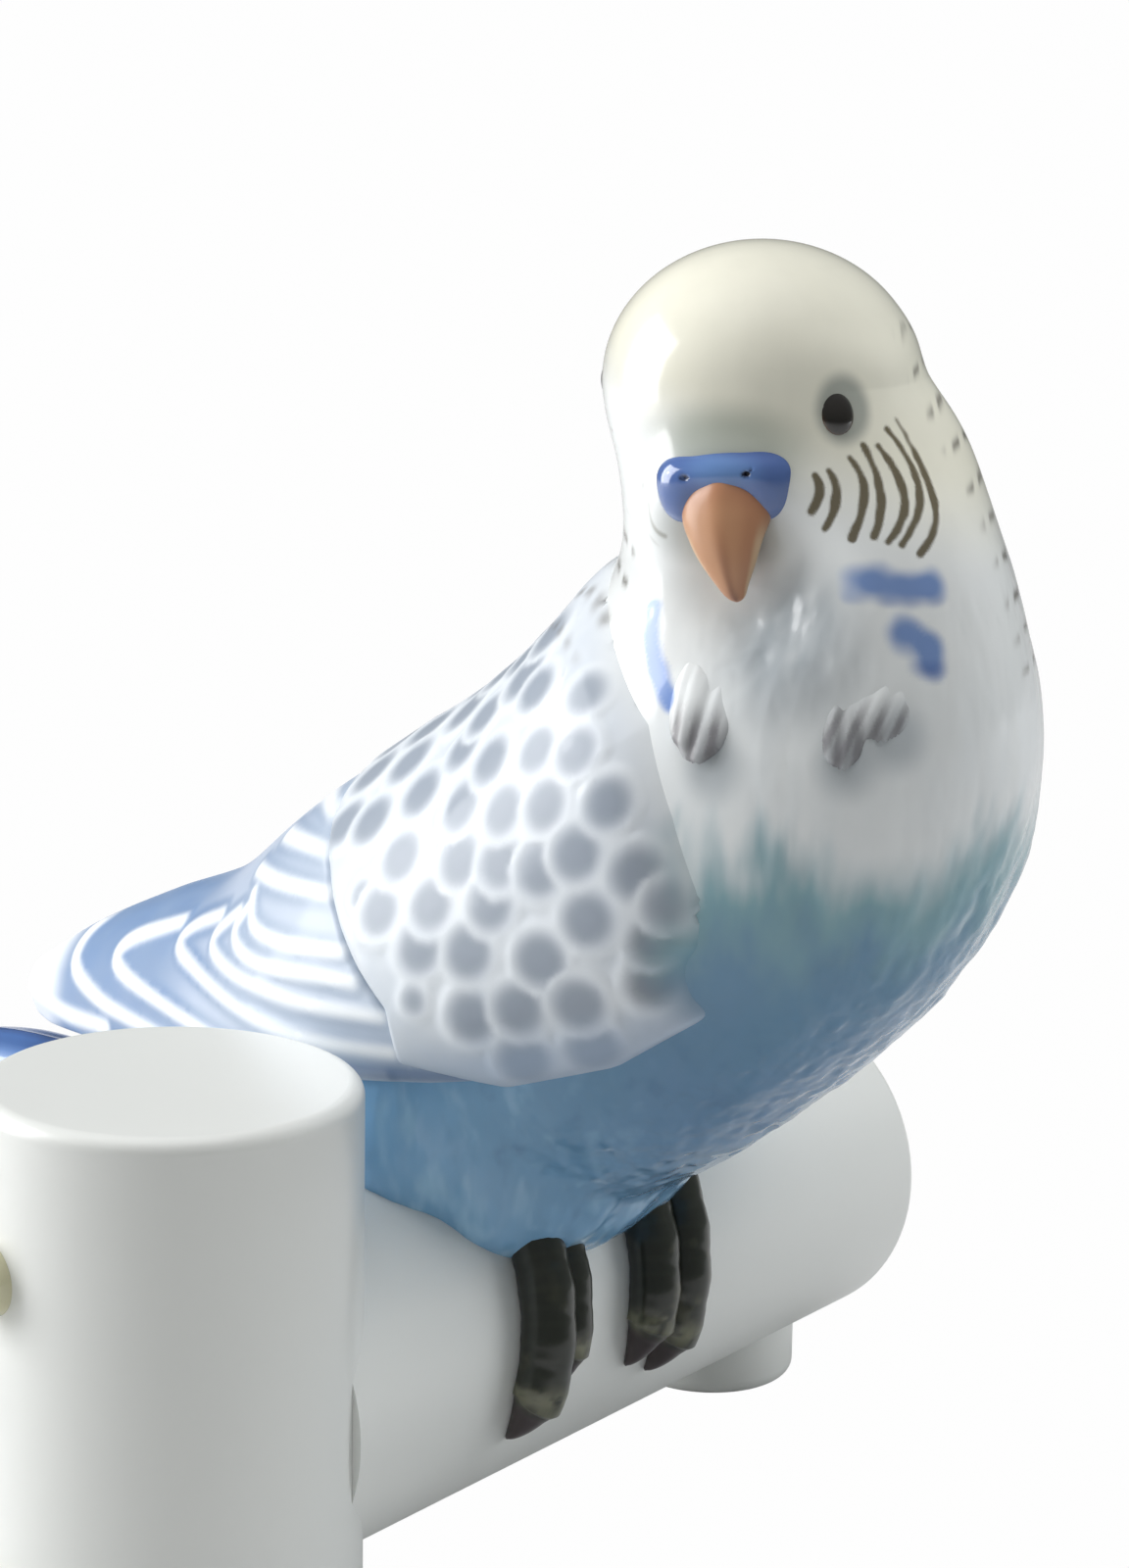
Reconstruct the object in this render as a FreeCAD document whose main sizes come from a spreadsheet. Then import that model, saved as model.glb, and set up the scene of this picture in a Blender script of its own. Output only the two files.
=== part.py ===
import FreeCAD, Part
import math
import os
from FreeCAD import Vector, Placement, Rotation

# Glazed porcelain budgerigar on a round perch.
# Frame: origin at the centre of the post's foot on the table, +Z up, +X along the
# perch away from the post; the bird stands over the perch, breast towards -Y and
# tail towards +Y, with its head turned towards -X.
# Everything is cast, cut to its neighbour and luted together with slip, so the
# pieces meet face to face and nothing moves.

doc = FreeCAD.newDocument("porcelain_budgerigar")
sheet = doc.addObject("Spreadsheet::Sheet", "Sizes")
row_no = 0


def cell(alias, value):
    """one driving dimension: label in column A, plain number in column B"""
    global row_no
    row_no += 1
    sheet.set("A%d" % row_no, alias.replace("_", " "))
    sheet.set("B%d" % row_no, repr(float(value)))
    sheet.setAlias("B%d" % row_no, alias)
    return float(value)


# ---- stand ---------------------------------------------------------------
TUBE = cell("tube_radius", 15.0)
WALL = cell("stand_wall", 3.6)
POST = cell("post_height", 46.2)
AXIS = cell("perch_axis_height", 18.3)
PERCH = cell("perch_end", 85.64)
cell("rim_round", 1.25)
cell("perch_floor", 3.8)
DISC = cell("base_disc_thick", 3.2)
VENT = cell("vent_radius", 1.5)
VENTX = cell("vent_station", 7.0)
FOOTX = cell("foot_station", 74.5)
FOOTR = cell("foot_radius", 7.7)
cell("foot_round", 1.3)
PEGR = cell("peg_radius", 2.9)
PEGOUT = cell("peg_reach", 18.2)
PEGA = cell("peg_bearing", 157.6)
PEGHI = cell("peg_upper_height", 32.7)
PEGLO = cell("peg_lower_height", 5.6)

# ---- bird ----------------------------------------------------------------
BX = cell("bird_station", 40.0)
BH = cell("bird_heading", 4.0)
BWALL = cell("body_wall", 3.0)
COVERT = cell("covert_thick", 1.8)
HV = cell("head_back", -28.5)
HZ = cell("head_height", 96.5)
HR = cell("head_radius", 13.0)
HRZ = cell("head_radius_up", 13.2)
HWALL = cell("head_wall", 3.0)
FACE = cell("face_bearing", 196.7)

# stations of the body: back, rise, pitch, half width, half depth
BODY = [(-32.3, 100.5, -87, 6.5, 8.2), (-33.9, 92.0, -85, 10.9, 13.4),
        (-33.93, 83.28, -84, 13.83, 16.86), (-32.37, 74.06, -76, 17.56, 19.95),
        (-28.46, 65.44, -62, 19.67, 20.92), (-20.17, 57.08, -48, 20.22, 20.74),
        (-9.63, 49.42, -38, 20.45, 20.76), (4.0, 41.0, -32, 19.5, 19.8),
        (15.0, 37.3, -29, 15.4, 15.7), (24.0, 33.6, -27, 12.1, 12.4),
        (32.5, 30.0, -25, 9.3, 9.6), (41.5, 26.6, -23, 6.7, 6.9), (50.0, 23.6, -22, 4.2, 4.4)]
# stations of the folded wings as they leave the body and run to their tips
WING = [(-9.63, 49.42, -38, 22.2, 22.5), (4.79, 39.23, -32, 21.3, 21.7),
        (17.0, 36.0, -28, 17.0, 17.2), (30.0, 33.5, -24, 12.0, 12.2),
        (42.5, 33.0, -20, 7.8, 7.8), (52.0, 32.4, -17, 4.3, 4.4), (57.5, 32.0, -15, 1.4, 1.5)]
# tail feathers: back, rise, pitch, half width, half thickness
TAIL = [(40.0, 26.8, -6, 3.6, 1.5), (50.0, 26.5, -6, 4.2, 1.35), (62.0, 26.0, -11, 4.7, 1.2),
        (80.0, 21.9, -16, 3.4, 1.0), (96.0, 17.2, -17, 1.3, 0.6)]
SIDE = [(38.0, 24.6, -10, 2.4, 1.3), (50.0, 22.9, -9, 2.9, 1.2), (62.0, 21.9, -12, 2.8, 1.1),
        (77.0, 18.3, -16, 1.2, 0.6)]


def stations(prefix, rows):
    for i, (back, rise, pitch, wide, deep) in enumerate(rows):
        tag = "%s_%s" % (prefix, "abcdefghijklm"[i])
        cell(tag + "_back", back)
        cell(tag + "_rise", rise)
        cell(tag + "_pitch", pitch)
        cell(tag + "_wide", wide)
        cell(tag + "_deep", deep)


stations("body", BODY)
stations("wing", WING)
stations("tail", TAIL)
stations("side", SIDE)

# upper beak rings: reach, up, half width, half thickness, lean of the ring, bearing
BEAK = [(10.4, -3.2, 4.0, 3.6, 40, 2), (13.5, -5.2, 3.7, 2.6, 57, 3), (15.1, -7.8, 2.8, 1.8, 80, 5),
        (15.3, -10.0, 1.8, 1.25, 95, 7.5), (14.9, -11.9, 0.6, 0.5, 104, 9)]
for i, (reach, up, wide, deep, lean, bear) in enumerate(BEAK):
    cell("beak_%s_wide" % "abcde"[i], wide)
    cell("beak_%s_deep" % "abcde"[i], deep)
# rounded pieces on the head and throat: outward, sideways and upward half sizes
EGGS = {"cere_egg": (2.9, 5.4, 3.9), "eye_left": (1.75, 1.65, 2.05), "eye_right": (1.75, 1.65, 2.05),
        "tuft_right": (2.2, 2.6, 5.2), "tuft_left": (2.2, 2.6, 5.2)}
for key, (out, wide, high) in EGGS.items():
    cell(key + "_out", out)
    cell(key + "_wide", wide)
    cell(key + "_high", high)
TOES = {"toe_ro": 2.1, "toe_ri": 1.9, "toe_li": 2.0, "toe_lo": 2.1,
        "rear_ra": 1.9, "rear_rb": 1.8, "rear_la": 1.9, "rear_lb": 1.8}
for key, thick in TOES.items():
    cell(key + "_thick", thick)
doc.recompute()

bird = Placement(Vector(BX, 0, 0), Rotation(Vector(0, 0, 1), -BH))
bird_inv = bird.inverse()


def loft(name, prefix, rows, grow="0", shift=None, flat=False):
    """loft through ellipses that stand across the bird's mid-plane"""
    rings = []
    for i, (back, rise, pitch, wide, deep) in enumerate(rows):
        tag = "Sizes.%s_%s" % (prefix, "abcdefghijklm"[i])
        e = doc.addObject("Part::Ellipse", "%s_ring_%d" % (name, i))
        if flat:
            e.setExpression("MajorRadius", "%s_wide + %s" % (tag, grow))
            e.setExpression("MinorRadius", "%s_deep + %s" % (tag, grow))
            turn = Rotation(Vector(1, 0, 0), 90 + pitch)
        else:
            e.setExpression("MajorRadius", "%s_deep + %s" % (tag, grow))
            e.setExpression("MinorRadius", "%s_wide + %s" % (tag, grow))
            turn = Rotation(Vector(1, 0, 0), 90 + pitch).multiply(Rotation(Vector(0, 0, 1), 90))
        e.Placement = Placement(Vector(shift[i] if shift else 0, back, rise), turn)
        e.setExpression("Placement.Base.y", tag + "_back")
        e.setExpression("Placement.Base.z", tag + "_rise")
        rings.append(e)
    o = doc.addObject("Part::Loft", name)
    o.Sections = rings
    o.Solid = True
    o.Ruled = False
    o.Closed = False
    return o


def boolean(kind, name, a, b):
    o = doc.addObject("Part::" + kind, name)
    o.Base = a
    o.Tool = b
    return o


def cut(name, a, b):
    return boolean("Cut", name, a, b)


def common(name, a, b):
    return boolean("Common", name, a, b)


def prism(name, pts, u0, u1):
    """outline in the bird's side view (back, rise), extruded sideways from u0 to u1"""
    w = Part.makePolygon([Vector(u0, v, z) for v, z in pts] + [Vector(u0, pts[0][0], pts[0][1])])
    f = doc.addObject("Part::Feature", name + "_outline")
    f.Shape = w
    o = doc.addObject("Part::Extrusion", name)
    o.Base = f
    o.DirMode = "Custom"
    o.Dir = Vector(1, 0, 0)
    o.LengthFwd = u1 - u0
    o.Solid = True
    return o


def origin_plane(body, role):
    for f in body.Origin.OriginFeatures:
        if f.Role == role:
            return f
    raise RuntimeError("no plane " + role)


def revolved(label, profile, bound):
    """PartDesign body: a closed profile in the XZ plane turned about Z.
    profile: list of (x, z); bound: list of (segment end, 'x' or 'z', expression)"""
    body = doc.addObject("PartDesign::Body", label + "_body")
    sk = body.newObject("Sketcher::SketchObject", label + "_profile")
    sk.AttachmentSupport = [(origin_plane(body, "XZ_Plane"), "")]
    sk.MapMode = "FlatFace"
    import Sketcher
    n = len(profile)
    for i in range(n):
        a, b = profile[i], profile[(i + 1) % n]
        sk.addGeometry(Part.LineSegment(Vector(a[0], a[1], 0), Vector(b[0], b[1], 0)), False)
    for i in range(n):
        sk.addConstraint(Sketcher.Constraint("Coincident", i, 2, (i + 1) % n, 1))
    for i, (x, z) in enumerate(profile):
        cx = sk.addConstraint(Sketcher.Constraint("DistanceX", -1, 1, i, 1, x)) if abs(x) > 1e-9 else \
            sk.addConstraint(Sketcher.Constraint("PointOnObject", i, 1, -2))
        if i in bound and "x" in bound[i]:
            sk.setExpression("Constraints[%d]" % cx, bound[i]["x"])
        cz = sk.addConstraint(Sketcher.Constraint("DistanceY", -1, 1, i, 1, z)) if abs(z) > 1e-9 else \
            sk.addConstraint(Sketcher.Constraint("PointOnObject", i, 1, -1))
        if i in bound and "z" in bound[i]:
            sk.setExpression("Constraints[%d]" % cz, bound[i]["z"])
    rev = body.newObject("PartDesign::Revolution", label + "_turn")
    rev.Profile = sk
    rev.ReferenceAxis = (sk, ["V_Axis"])
    rev.Angle = 360.0
    doc.recompute()
    return body, rev


def rounded(body, feature, label, pick, expr):
    """fillet on the circular edges that pick() chooses"""
    names = []
    for i, e in enumerate(feature.Shape.Edges):
        if pick(e):
            names.append("Edge%d" % (i + 1))
    fl = body.newObject("PartDesign::Fillet", label + "_round")
    fl.Base = (feature, names)
    fl.setExpression("Radius", expr)
    doc.recompute()
    return fl


def ring_at(e, r, z):
    c = e.Curve
    return isinstance(c, Part.Circle) and abs(c.Radius - r) < 1e-3 and abs(c.Center.z - z) < 1e-3


nodes = []


def node(obj, label, place=None):
    obj.Label = label
    if place is not None:
        obj.Placement = place
    nodes.append(obj)
    return obj


# ---- post: hollow casting closed at the top, plugged by a vented disc --------
inner = TUBE - WALL
post_body, rv = revolved("post", [(inner, 0), (TUBE, 0), (TUBE, POST), (0, POST), (0, POST - WALL), (inner, POST - WALL)],
                         {0: {"x": "Sizes.tube_radius - Sizes.stand_wall"}, 1: {"x": "Sizes.tube_radius"},
                          2: {"x": "Sizes.tube_radius", "z": "Sizes.post_height"}, 3: {"z": "Sizes.post_height"},
                          4: {"z": "Sizes.post_height - Sizes.stand_wall"},
                          5: {"x": "Sizes.tube_radius - Sizes.stand_wall", "z": "Sizes.post_height - Sizes.stand_wall"}})
rounded(post_body, rv, "post", lambda e: ring_at(e, TUBE, POST), "Sizes.rim_round")
node(post_body, "post_shell")

disc_body = doc.addObject("PartDesign::Body", "disc_body")
dsk = disc_body.newObject("Sketcher::SketchObject", "disc_outline")
dsk.AttachmentSupport = [(origin_plane(disc_body, "XY_Plane"), "")]
dsk.MapMode = "FlatFace"
import Sketcher
dsk.addGeometry(Part.Circle(Vector(0, 0, 0), Vector(0, 0, 1), inner), False)
dsk.addConstraint(Sketcher.Constraint("Coincident", 0, 3, -1, 1))
c0 = dsk.addConstraint(Sketcher.Constraint("Radius", 0, inner))
dsk.setExpression("Constraints[%d]" % c0, "Sizes.tube_radius - Sizes.stand_wall")
dsk.addGeometry(Part.Circle(Vector(VENTX, 0, 0), Vector(0, 0, 1), VENT), False)
dsk.addConstraint(Sketcher.Constraint("PointOnObject", 1, 3, -1))
cv = dsk.addConstraint(Sketcher.Constraint("DistanceX", -1, 1, 1, 3, VENTX))
dsk.setExpression("Constraints[%d]" % cv, "Sizes.vent_station")
c1 = dsk.addConstraint(Sketcher.Constraint("Radius", 1, VENT))
dsk.setExpression("Constraints[%d]" % c1, "Sizes.vent_radius")
dpad = disc_body.newObject("PartDesign::Pad", "disc_pad")
dpad.Profile = dsk
dpad.setExpression("Length", "Sizes.base_disc_thick")
doc.recompute()
node(disc_body, "post_base_disc")

# ---- perch: hollow tube, closed rounded far end, saddle cut to the post --------
lay = Placement(Vector(0, 0, AXIS), Rotation(Vector(0, 1, 0), 90))
perch_body, rv = revolved("perch", [(0, 12.0), (0, 5.0), (TUBE, 5.0), (TUBE, PERCH), (0, PERCH), (0, PERCH - 3.8),
                                    (inner, PERCH - 3.8), (inner, 12.0)],
                          {2: {"x": "Sizes.tube_radius"}, 3: {"x": "Sizes.tube_radius", "z": "Sizes.perch_end"},
                           4: {"z": "Sizes.perch_end"}, 5: {"z": "Sizes.perch_end - Sizes.perch_floor"},
                           6: {"x": "Sizes.tube_radius - Sizes.stand_wall", "z": "Sizes.perch_end - Sizes.perch_floor"},
                           7: {"x": "Sizes.tube_radius - Sizes.stand_wall"}})
rounded(perch_body, rv, "perch", lambda e: ring_at(e, TUBE, PERCH), "Sizes.rim_round")
perch_body.Placement = lay
post_tool = doc.addObject("Part::Cylinder", "post_tool")
post_tool.setExpression("Radius", "Sizes.tube_radius")
post_tool.setExpression("Height", "Sizes.post_height")
perch = node(cut("perch_cut", perch_body, post_tool), "perch_tube")

bar_tool = doc.addObject("Part::Cylinder", "bar_tool")
bar_tool.setExpression("Radius", "Sizes.tube_radius")
bar_tool.setExpression("Height", "Sizes.perch_end")
bar_tool.Placement = lay

# ---- foot under the far end -------------------------------------------------
foot_body, rv = revolved("foot", [(0, 0), (FOOTR, 0), (FOOTR, 8.0), (0, 8.0)],
                         {1: {"x": "Sizes.foot_radius"}, 2: {"x": "Sizes.foot_radius"}})
rounded(foot_body, rv, "foot", lambda e: ring_at(e, FOOTR, 0.0), "Sizes.foot_round")
foot_body.Placement = Placement(Vector(FOOTX, 0, 0), Rotation())
foot_body.setExpression("Placement.Base.x", "Sizes.foot_station")
node(cut("foot_cut", foot_body, bar_tool), "perch_foot")


# ---- two round pegs on the back of the post ---------------------------------
def peg(name, z, alias, label):
    c = doc.addObject("Part::Cylinder", name + "_shank")
    c.setExpression("Radius", "Sizes.peg_radius")
    c.setExpression("Height", "Sizes.peg_reach - 1.2")
    turn = Rotation(Vector(0, 0, 1), PEGA).multiply(Rotation(Vector(0, 1, 0), 90))
    c.Placement = Placement(Vector(0, 0, z), turn)
    c.setExpression("Placement.Base.z", "Sizes." + alias)
    s = doc.addObject("Part::Ellipsoid", name + "_dome")
    s.Radius1 = 1.2
    s.Radius2 = PEGR
    s.Radius3 = PEGR
    s.Placement = Placement(Vector(0, 0, z) + turn.multVec(Vector(0, 0, PEGOUT - 1.2)), turn)
    f = boolean("Fuse", name + "_whole", c, s)
    return node(cut(name + "_cut", f, post_tool), label)


peg("peg_up", PEGHI, "peg_upper_height", "upper_peg")
peg("peg_low", PEGLO, "peg_lower_height", "lower_peg")

# ---- body: hollow casting that sits astride the perch ------------------------
bar_local = doc.addObject("Part::Cylinder", "bar_local")
bar_local.setExpression("Radius", "Sizes.tube_radius")
bar_local.setExpression("Height", "Sizes.perch_end")
bar_local.Placement = bird_inv.multiply(lay)

body_out = loft("body_outer", "body", BODY)
body_in = loft("body_inner", "body", BODY[1:11], "0")
for i, e in enumerate(body_in.Sections):
    tag = "Sizes.body_%s" % "bcdefghijkl"[i]
    e.setExpression("MajorRadius", "%s_deep - Sizes.body_wall" % tag)
    e.setExpression("MinorRadius", "%s_wide - Sizes.body_wall" % tag)
    e.setExpression("Placement.Base.y", tag + "_back")
    e.setExpression("Placement.Base.z", tag + "_rise")
doc.recompute()
hollow = cut("body_hollow", body_out, body_in)
node(cut("body_cut", hollow, bar_local), "body_shell", bird)

# ---- head: hollow ball luted into the neck -----------------------------------
head_out = doc.addObject("Part::Ellipsoid", "head_outer")
head_out.setExpression("Radius1", "Sizes.head_radius_up")
head_out.setExpression("Radius2", "Sizes.head_radius")
head_out.setExpression("Radius3", "Sizes.head_radius")
head_in = doc.addObject("Part::Ellipsoid", "head_inner")
head_in.setExpression("Radius1", "Sizes.head_radius_up - Sizes.head_wall")
head_in.setExpression("Radius2", "Sizes.head_radius - Sizes.head_wall")
head_in.setExpression("Radius3", "Sizes.head_radius - Sizes.head_wall")
for o in (head_out, head_in):
    o.Placement = Placement(Vector(0, HV, HZ), Rotation())
    o.setExpression("Placement.Base.y", "Sizes.head_back")
    o.setExpression("Placement.Base.z", "Sizes.head_height")
head_hollow = cut("head_hollow", head_out, head_in)
node(cut("head_cut", head_hollow, body_out), "head_shell", bird)

# ---- face pieces, placed round the head's own axes ----------------------------
# forward bearing of the face in the bird's frame
face_local = math.radians(FACE + BH)


def face_point(bearing, reach, up):
    """point at a bearing left of the face's forward line, in the bird's frame"""
    a = face_local + math.radians(bearing)
    return Vector(reach * math.cos(a), HV + reach * math.sin(a), HZ + up)


def face_turn(bearing):
    return Rotation(Vector(0, 0, 1), math.degrees(face_local) + bearing)


def face_egg(name, bearing, reach, up):
    e = doc.addObject("Part::Ellipsoid", name)
    e.setExpression("Radius1", "Sizes.%s_high" % name)
    e.setExpression("Radius2", "Sizes.%s_out" % name)
    e.setExpression("Radius3", "Sizes.%s_wide" % name)
    e.Placement = Placement(face_point(bearing, reach, up), face_turn(bearing))
    return e


# upper beak: a hooked wedge, broad at the cere and drawn to a point
rings = []
for i, (reach, up, wide, deep, lean, bear) in enumerate(BEAK):
    tag = "Sizes.beak_%s" % "abcde"[i]
    e = doc.addObject("Part::Ellipse", "beak_ring_%d" % i)
    e.setExpression("MajorRadius", tag + "_wide")
    e.setExpression("MinorRadius", tag + "_deep")
    # major axis sideways; ring normal runs forward then down along the hook
    turn = face_turn(0).multiply(Rotation(Vector(0, 1, 0), 90 + lean)).multiply(Rotation(Vector(0, 0, 1), 90))
    e.Placement = Placement(face_point(bear, reach, up), turn)
    rings.append(e)
beak_loft = doc.addObject("Part::Loft", "beak_loft")
beak_loft.Sections = rings
beak_loft.Solid = True
beak_a = cut("beak_off_head", beak_loft, head_out)
beak_b = cut("beak_off_body", beak_a, body_out)
beak = node(beak_b, "upper_beak", bird)

cere_egg = face_egg("cere_egg", 0, 11.9, -3.0)
cere_a = cut("cere_off_head", cere_egg, head_out)
cere_b = cut("cere_off_body", cere_a, body_out)
node(cut("cere_off_beak", cere_b, beak_loft), "cere", bird)

for name, label, bearing in (("eye_left", "left_eye", 40.0), ("eye_right", "right_eye", -58.0)):
    egg = face_egg(name, bearing, 12.0, 1.9)
    node(cut(name + "_cap", egg, head_out), label, bird)

# ---- folded wings: feather shells over the flanks and back ---------------------
cov_out = loft("covert_outer", "body", BODY[2:11], "0")
for i, e in enumerate(cov_out.Sections):
    tag = "Sizes.body_%s" % "cdefghijkl"[i]
    e.setExpression("MajorRadius", "%s_deep + Sizes.covert_thick" % tag)
    e.setExpression("MinorRadius", "%s_wide + Sizes.covert_thick" % tag)
    e.setExpression("Placement.Base.y", tag + "_back")
    e.setExpression("Placement.Base.z", tag + "_rise")
wing_out = loft("wing_outer", "wing", WING)

COVERT_LINE = [(-19.0, 90.0), (-28.8, 83.0), (-34.5, 77.5), (-37.0, 70.0), (-40.0, 62.5), (-40.4, 57.5),
               (-35.7, 52.8), (-27.3, 46.6), (-19.3, 44.2), (-9.5, 43.6), (-7.0, 49.0), (-1.5, 54.5), (6.0, 60.0),
               (13.0, 66.0), (0.0, 82.0)]
FLIGHT_LINE = [(13.0, 66.0), (6.0, 60.0), (-1.5, 54.5), (-7.0, 49.0), (-9.5, 43.6), (-6.0, 41.6), (10.0, 37.0),
               (30.0, 31.6), (50.0, 28.9), (64.0, 28.2), (66.0, 36.0), (44.0, 50.0), (26.0, 62.0)]
covert_trims = {}
for side, lo, hi in (("right", -45.0, -0.5), ("left", 0.5, 45.0)):
    p = prism(side + "_covert_block", COVERT_LINE, lo, hi)
    q = common(side + "_covert_trim", cov_out, p)
    covert_trims[side] = q
    node(cut(side + "_covert_shell", q, body_out), side + "_wing_coverts", bird)
    p = prism(side + "_flight_block", FLIGHT_LINE, lo, hi)
    q = common(side + "_flight_trim", wing_out, p)
    node(cut(side + "_flight_shell", q, body_out), side + "_flight_feathers", bird)

# ---- tail ----------------------------------------------------------------
tail = loft("tail_middle", "tail", TAIL, flat=True)
node(cut("tail_middle_cut", tail, body_out), "central_tail_feathers", bird)
for side, sg in (("right", -1), ("left", 1)):
    o = loft(side + "_tail", "side", SIDE, shift=[sg * 2.8, sg * 4.2, sg * 5.2, sg * 6.6], flat=True)
    a = cut(side + "_tail_a", o, body_out)
    b = cut(side + "_tail_b", a, tail)
    node(b, side + "_outer_tail_feathers", bird)

# ---- throat: hand-laid feather tufts -------------------------------------------
for name, label, spot, lean, block in (("tuft_right", "right_throat_tuft", (-17.4, -39.2, 77.0), 233.0, "right"),
                                       ("tuft_left", "left_throat_tuft", (-11.2, -46.6, 77.4), 251.0, "left")):
    egg = doc.addObject("Part::Ellipsoid", name)
    egg.setExpression("Radius1", "Sizes.%s_high" % name)
    egg.setExpression("Radius2", "Sizes.%s_out" % name)
    egg.setExpression("Radius3", "Sizes.%s_wide" % name)
    egg.Placement = Placement(Vector(*spot), Rotation(Vector(0, 0, 1), lean).multiply(Rotation(Vector(0, 1, 0), 6)))
    q = cut(name + "_off_body", egg, body_out)
    node(cut(name + "_cut", q, covert_trims["right"]), label, bird)


# ---- toes that grip the perch ----------------------------------------------
def toe(name, station, start, sweep, slant):
    """ring segment round the perch, from the crest (0) down over the -Y side"""
    t = doc.addObject("Part::Torus", name)
    thick = TOES[name]
    t.setExpression("Radius1", "Sizes.tube_radius + 0.45 * Sizes.%s_thick" % name)
    t.setExpression("Radius2", "Sizes.%s_thick" % name)
    t.Angle3 = sweep
    base = Rotation(Vector(0, 0, 1), slant)
    # torus axis to X, start of the segment on the crest, sweeping towards -Y
    lay_x = Rotation(Vector(0, 0, 1), Vector(1, 0, 0))
    crest = lay_x.multVec(Vector(1, 0, 0))
    a0 = math.degrees(math.atan2(crest.z, crest.y))
    aim = 90.0 + start
    spin = Rotation(Vector(1, 0, 0), aim - a0)
    t.Placement = Placement(Vector(station, 0, AXIS), base.multiply(spin).multiply(lay_x))
    tip_a = math.radians(aim + sweep)
    reach = TUBE + 0.45 * thick
    tip = base.multVec(Vector(0, reach * math.cos(tip_a), reach * math.sin(tip_a)))
    b = doc.addObject("Part::Sphere", name + "_tip")
    b.setExpression("Radius", "Sizes.%s_thick" % name)
    b.Placement = Placement(Vector(station, 0, AXIS) + tip, Rotation())
    f = boolean("Fuse", name + "_whole", t, b)
    g = cut(name + "_off_perch", f, bar_tool)
    return cut(name + "_off_body", g, body_row)


body_row = doc.addObject("Part::Cut", "body_row")
empty = doc.addObject("Part::Box", "far_box")
empty.Length = empty.Width = empty.Height = 1.0
empty.Placement = Placement(Vector(500, 500, 500), Rotation())
body_row.Base = body_out
body_row.Tool = empty
body_row.Placement = bird
node(toe("toe_ro", 26.6, 30, 76, 9), "right_foot_outer_toe")
node(toe("toe_ri", 31.8, 30, 66, 9), "right_foot_inner_toe")
node(toe("toe_li", 42.6, 30, 70, 9), "left_foot_inner_toe")
node(toe("toe_lo", 48.4, 30, 82, 9), "left_foot_outer_toe")
for nm, label, s0 in (("rear_r", "right_foot_rear_toes", 27.4), ("rear_l", "left_foot_rear_toes", 43.6)):
    a = toe(nm + "a", s0, -104, 60, 0)
    b = toe(nm + "b", s0 + 5.2, -96, 54, 0)
    c = doc.addObject("Part::Compound", nm)
    c.Links = [a, b]
    node(c, label)

doc.recompute()

# ---- check, then write -------------------------------------------------------
bad = [o.Name for o in doc.Objects if ("Invalid" in o.State or "Error" in o.State)]
if bad:
    raise RuntimeError("failed objects: " + ", ".join(bad))
os.makedirs("parts", exist_ok=True)
for o in nodes:
    s = o.Shape
    if s.isNull() or not s.isValid() or not s.Solids:
        raise RuntimeError("bad shape: " + o.Label)
total = 0.0
for o in nodes:
    s = o.Shape
    s.exportStep("parts/%s.step" % o.Label)
    b = s.BoundBox
    total += s.Volume
    print("%-24s solids %s  volume %8.1f  box %6.1f %6.1f %6.1f  %6.1f %6.1f %6.1f" % (
        o.Label, [round(q.Volume, 2) for q in s.Solids], s.Volume, b.XMin, b.YMin, b.ZMin, b.XMax, b.YMax, b.ZMax))
m = Vector(0, 0, 0)
for o in nodes:
    for sd in o.Shape.Solids:
        m += sd.CenterOfMass * sd.Volume
print("pieces", len(nodes), "centre of mass", m * (1.0 / total))
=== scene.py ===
"""Looks of the glazed porcelain budgerigar on its perch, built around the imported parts."""

import math

import bpy
import numpy as np
from mathutils import Matrix, Vector


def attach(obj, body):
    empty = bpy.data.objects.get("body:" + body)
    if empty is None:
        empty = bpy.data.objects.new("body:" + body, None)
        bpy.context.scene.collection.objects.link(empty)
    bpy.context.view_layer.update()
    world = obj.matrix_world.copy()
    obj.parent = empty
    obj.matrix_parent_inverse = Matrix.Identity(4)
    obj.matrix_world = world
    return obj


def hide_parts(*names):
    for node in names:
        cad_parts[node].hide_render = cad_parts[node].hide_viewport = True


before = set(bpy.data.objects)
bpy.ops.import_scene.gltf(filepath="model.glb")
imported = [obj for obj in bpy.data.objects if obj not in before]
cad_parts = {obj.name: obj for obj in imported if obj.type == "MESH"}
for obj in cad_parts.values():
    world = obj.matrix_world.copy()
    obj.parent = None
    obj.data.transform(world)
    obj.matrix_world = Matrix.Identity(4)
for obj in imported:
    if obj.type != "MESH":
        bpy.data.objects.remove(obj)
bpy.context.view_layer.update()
rng = np.random.default_rng(7)

# ------------------------------------------------------------------ bird form
BX, BH = 40.0, math.radians(4.0)          # station on the perch (mm) and heading
HC = np.array([0.0, -28.5, 96.5])         # centre of the head, bird's own frame, mm
FB = math.radians(200.7)                  # bearing of the face in the bird's frame
FF = np.array([math.cos(FB), math.sin(FB), 0.0])
FL = np.array([-FF[1], FF[0], 0.0])
UP = np.array([0.0, 0.0, 1.0])

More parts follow.
